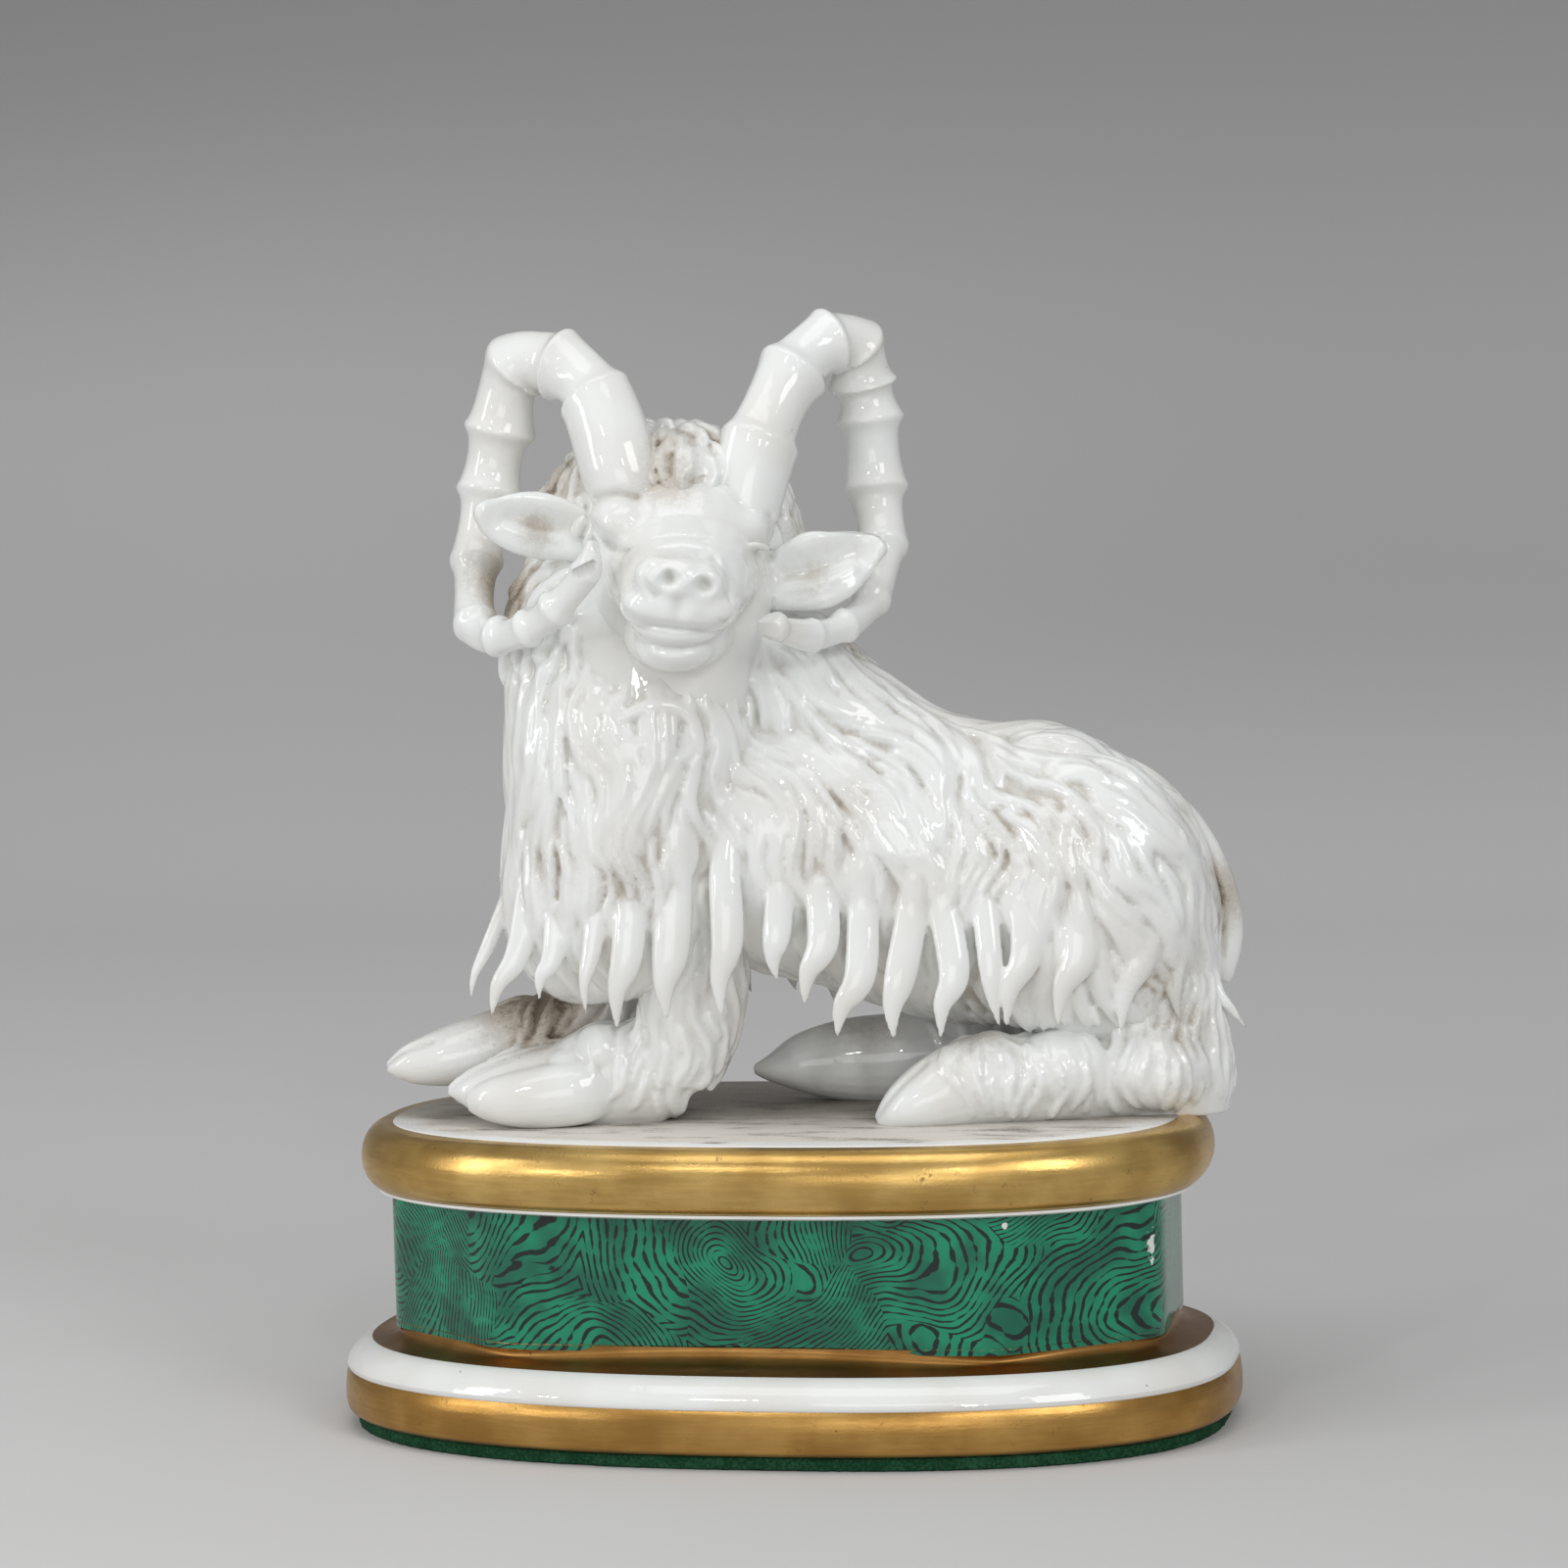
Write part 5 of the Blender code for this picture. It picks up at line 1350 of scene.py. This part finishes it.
# %% Work out the dust and the painted shade
HOLLOW_FROM = 0.00004
HOLLOW_FULL = 0.00060
DUST_AND_SHADE_SPOTS = [    # x, y, z and reach in millimetres, and how dusty
    (-59, -2, 119, 8.5, 1.1), (-56.2, -8, 115.3, 5, 0.9), (-21.5, -12, 148, 6, 0.85),
    (-20.5, -19, 140, 7.5, 0.75), (-12, -8, 148.4, 5.5, 0.7), (-46.6, 0, 141.2, 8, 0.9),
    (10.4, -4, 132, 7, 0.85), (-49.8, -18, 131, 5, 0.75), (9.5, -13, 118, 5.5, 0.5),
    (17.1, 4, 104.8, 11, 0.7), (19.4, -10, 87.8, 10, 0.35), (14.8, -22, 68.9, 9, 0.38),
    (6.7, -23, 58.4, 5, 0.38), (45.4, -26, 63.1, 10, 0.33), (61.7, -26, 65.4, 9, 0.33),
    (96.2, 0, 47.1, 9, 1), (42.6, -20, 20.8, 10, 0.7), (82.2, -24, 30.4, 9, 0.4),
    (88.8, -22, 19.7, 8, 0.6), (-60, 11, 23, 13, 1), (-46.7, 12, 27, 12, 1.1),
    (-51.5, -6, 18, 7, 0.45), (-31.4, -24, 56.6, 8, 0.6), (-49.5, -20, 58.9, 8, 0.45),
    # The spot at x 18, y 15, z 20 darkens the far hind hoof: painted shade under the belly.
    (18, 15, 20, 11, 0.6), (-53, 12, 20, 8, 0.6),
]
DUST_GAIN = 1.6
SMOOTH_ROUNDS = 24


def smoothed_rows(piece, rounds):
    """Vertex places after each has moved to the mean of its neighbours, several times."""
    places = vertex_rows(piece).astype(float)
    ends = np.empty(len(piece.data.edges) * 2, dtype=np.int64)
    piece.data.edges.foreach_get("vertices", ends)
    first, second = ends.reshape(-1, 2).T
    count = np.maximum(np.bincount(ends, minlength=len(places)), 1)
    for _ in range(rounds):
        for axis in range(3):
            column = places[:, axis]
            total = (np.bincount(first, column[second], len(places))
                     + np.bincount(second, column[first], len(places)))
            places[:, axis] = 0.5 * column + 0.5 * total / count
    return places


def settle_dust_and_shade(piece, everywhere):
    """Writes two numbers of each vertex: Hollow, which paints shade into the creases, and Dust, which
    holds dust and, at the far hind hoof, painted shade.
    """
    places = vertex_rows(piece).astype(float)
    normals = vertex_rows(piece, "normal")
    depth = np.sum((smoothed_rows(piece, SMOOTH_ROUNDS) - places) * normals, axis=1)
    hollow = np.clip((depth - HOLLOW_FROM) / (HOLLOW_FULL - HOLLOW_FROM), 0, 1)
    upward = 0.65 + 0.35 * np.clip(normals[:, 2], -1, 1)
    dust = everywhere * hollow * upward
    for *spot, strength in DUST_AND_SHADE_SPOTS:
        *centre, reach = in_metres(spot)
        near = np.exp(-np.sum((places - np.array(centre)) ** 2, axis=1) / reach ** 2)
        dust += DUST_GAIN * strength * near * (0.50 + 0.50 * hollow)
    for name, values in (("Hollow", hollow), ("Dust", dust)):
        layer = piece.data.attributes.new(name, "FLOAT", "POINT")
        layer.data.foreach_set("value", values.astype(np.float32))
    print(piece.name, "mean hollow", round(float(hollow.mean()), 3), "dust", round(float(dust.mean()), 3))


for piece, everywhere in ((trunk, 0.36), (legs, 0.32), (head, 0.12)):
    thin_out(piece, TRIANGLES)
    settle_dust_and_shade(piece, everywhere)
    piece.data.transform(RAM_PLACE)
    pick_only(piece)
    bpy.ops.object.shade_smooth()
    dress(piece, porcelain)
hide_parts("ram_and_plinth")
bpy.data.objects.remove(trunk_core)
bpy.data.objects.remove(leg_core)

# %% [markdown]
# ## The felt pad
#
# The felt was cut with scissors a little short of the foot, and its cut edge is ragged. It is
# extruded like the mouldings, cut finely, and displaced with noise.

# %% Cut the felt
felt = extrude_moulding("felt", [
    (0.0031, 0.0), (0.0026, 0.0004), (0.0025, 0.0015), (0.0026, 0.0027), (0.0029, 0.0030)], 0.0)
finish_with(felt, "SUBSURF", levels=1, render_levels=1, subdivision_type="SIMPLE")
tangle = bpy.data.textures.new("tangle", "CLOUDS")
tangle.noise_scale = 0.0011
finish_with(felt, "DISPLACE", texture=tangle, strength=0.0007, mid_level=0.6, texture_coords="GLOBAL")
for vertex in felt.data.vertices:
    vertex.co.z = max(vertex.co.z, 0.0)
dress(felt, green_felt)
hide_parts("felt_pad")

# %% [markdown]
# ## Floor, backdrop and light
#
# The figure stands on a pale table in front of a grey paper that curves up behind it. One
# long strip, bent up at its end, gives both without a line between them.

# %% Set the stage
FLOOR_LEFT = (0.75, 0.745, 0.745)
FLOOR_RIGHT = (0.62, 0.62, 0.625)
PAPER_LEFT = (0.72, 0.71, 0.715)
PAPER_RIGHT = (0.59, 0.585, 0.59)
PAPER_TOP = (0.425, 0.423, 0.424)
FLOOR_STAIN = (0.62, 0.61, 0.59)
FLOOR_FAR = (0.86, 0.855, 0.86)
SIDE_DRIFT = 0.214


def mix_paper():
    paper = Finish("paper", Roughness=0.9)
    place = paper.place()
    x, y, z = (paper.node("ShaderNodeSeparateXYZ", {0: place}, axis) for axis in ("X", "Y", "Z"))
    # Painted light and shade: the paper is painted lighter on the left and darker towards its top, as the
    # lamps light it, and the floor is painted lighter further back.
    side = paper.rise(x + y * SIDE_DRIFT, -0.35, 0.35)
    floor = paper.blend(side, FLOOR_LEFT, FLOOR_RIGHT)
    stain = paper.rise(paper.noise(place, 0.12, 4.0), 0.3, 0.7)
    floor = paper.blend(stain * 0.15, floor, FLOOR_STAIN)
    floor = paper.blend(paper.rise(y, 0.0, 1.1), floor, FLOOR_FAR)
    wall = paper.blend(side, PAPER_LEFT, PAPER_RIGHT)
    wall = paper.blend(paper.rise(z, 0.20, 0.52), wall, PAPER_TOP)
    paper.set(Base_Color=paper.blend(paper.rise(y * 0.15 + z, 0.12, 0.36), floor, wall))
    return paper.material


bpy.ops.object.select_all(action="DESELECT")
bpy.ops.mesh.primitive_grid_add(x_subdivisions=2, y_subdivisions=60, size=1.0)
backdrop = bpy.context.object
backdrop.name = "backdrop"
STRIP_LENGTH = 5.0
STRIP_WIDTH = 6.0
STRIP_START_Y = -1.6
STRIP_FLAT = 2.6
BEND_RADIUS = 0.7
for vertex in backdrop.data.vertices:
    run = (vertex.co.y + 0.5) * STRIP_LENGTH
    angle = min(max((run - STRIP_FLAT) / BEND_RADIUS, 0.0), math.pi / 2)
    rest = max(run - STRIP_FLAT - BEND_RADIUS * math.pi / 2, 0.0)
    y = min(run, STRIP_FLAT) + BEND_RADIUS * math.sin(angle) + STRIP_START_Y
    vertex.co = (vertex.co.x * STRIP_WIDTH, y, BEND_RADIUS * (1 - math.cos(angle)) + rest)
bpy.ops.object.shade_smooth()
backdrop.data.materials.append(mix_paper())


def add_softbox(name, place, aim, size, power):
    bpy.ops.object.light_add(type="AREA", location=place)
    lamp = bpy.context.object
    lamp.name = name
    lamp.rotation_euler = (Vector(aim) - Vector(place)).to_track_quat("-Z", "Y").to_euler()
    lamp.data.shape = "RECTANGLE"
    lamp.data.size, lamp.data.size_y = size
    lamp.data.energy = power


ROOM_LIGHT = 0.37
add_softbox("key", (0.95, -0.95, 0.85), (0, 0, 0.13), (0.45, 0.60), 4.3)
add_softbox("side", (-1.00, -0.65, 0.55), (0, 0, 0.13), (0.22, 0.80), 2.8)
add_softbox("top", (0.0, -0.30, 1.15), (0, 0, 0.1), (0.8, 0.6), 2.6)
add_softbox("front", (0.20, -1.40, 0.30), (0, 0, 0.10), (0.7, 0.4), 1.7)
for k, place in enumerate([(0.45, -1.25, 0.75), (-0.35, -1.20, 0.95), (-0.80, -1.10, 0.45)]):
    add_softbox(f"spark_{k}", place, (0, 0, 0.13), (0.07, 0.09), 1.1)
world = bpy.data.worlds.new("room")
world.use_nodes = True
room = world.node_tree.nodes["Background"]
room.inputs["Color"].default_value = (ROOM_LIGHT, ROOM_LIGHT, ROOM_LIGHT, 1.0)
room.inputs["Strength"].default_value = 1.0
bpy.context.scene.world = world
bpy.context.scene.view_settings.view_transform = "Standard"

# %% Update the view layer
bpy.context.view_layer.update()
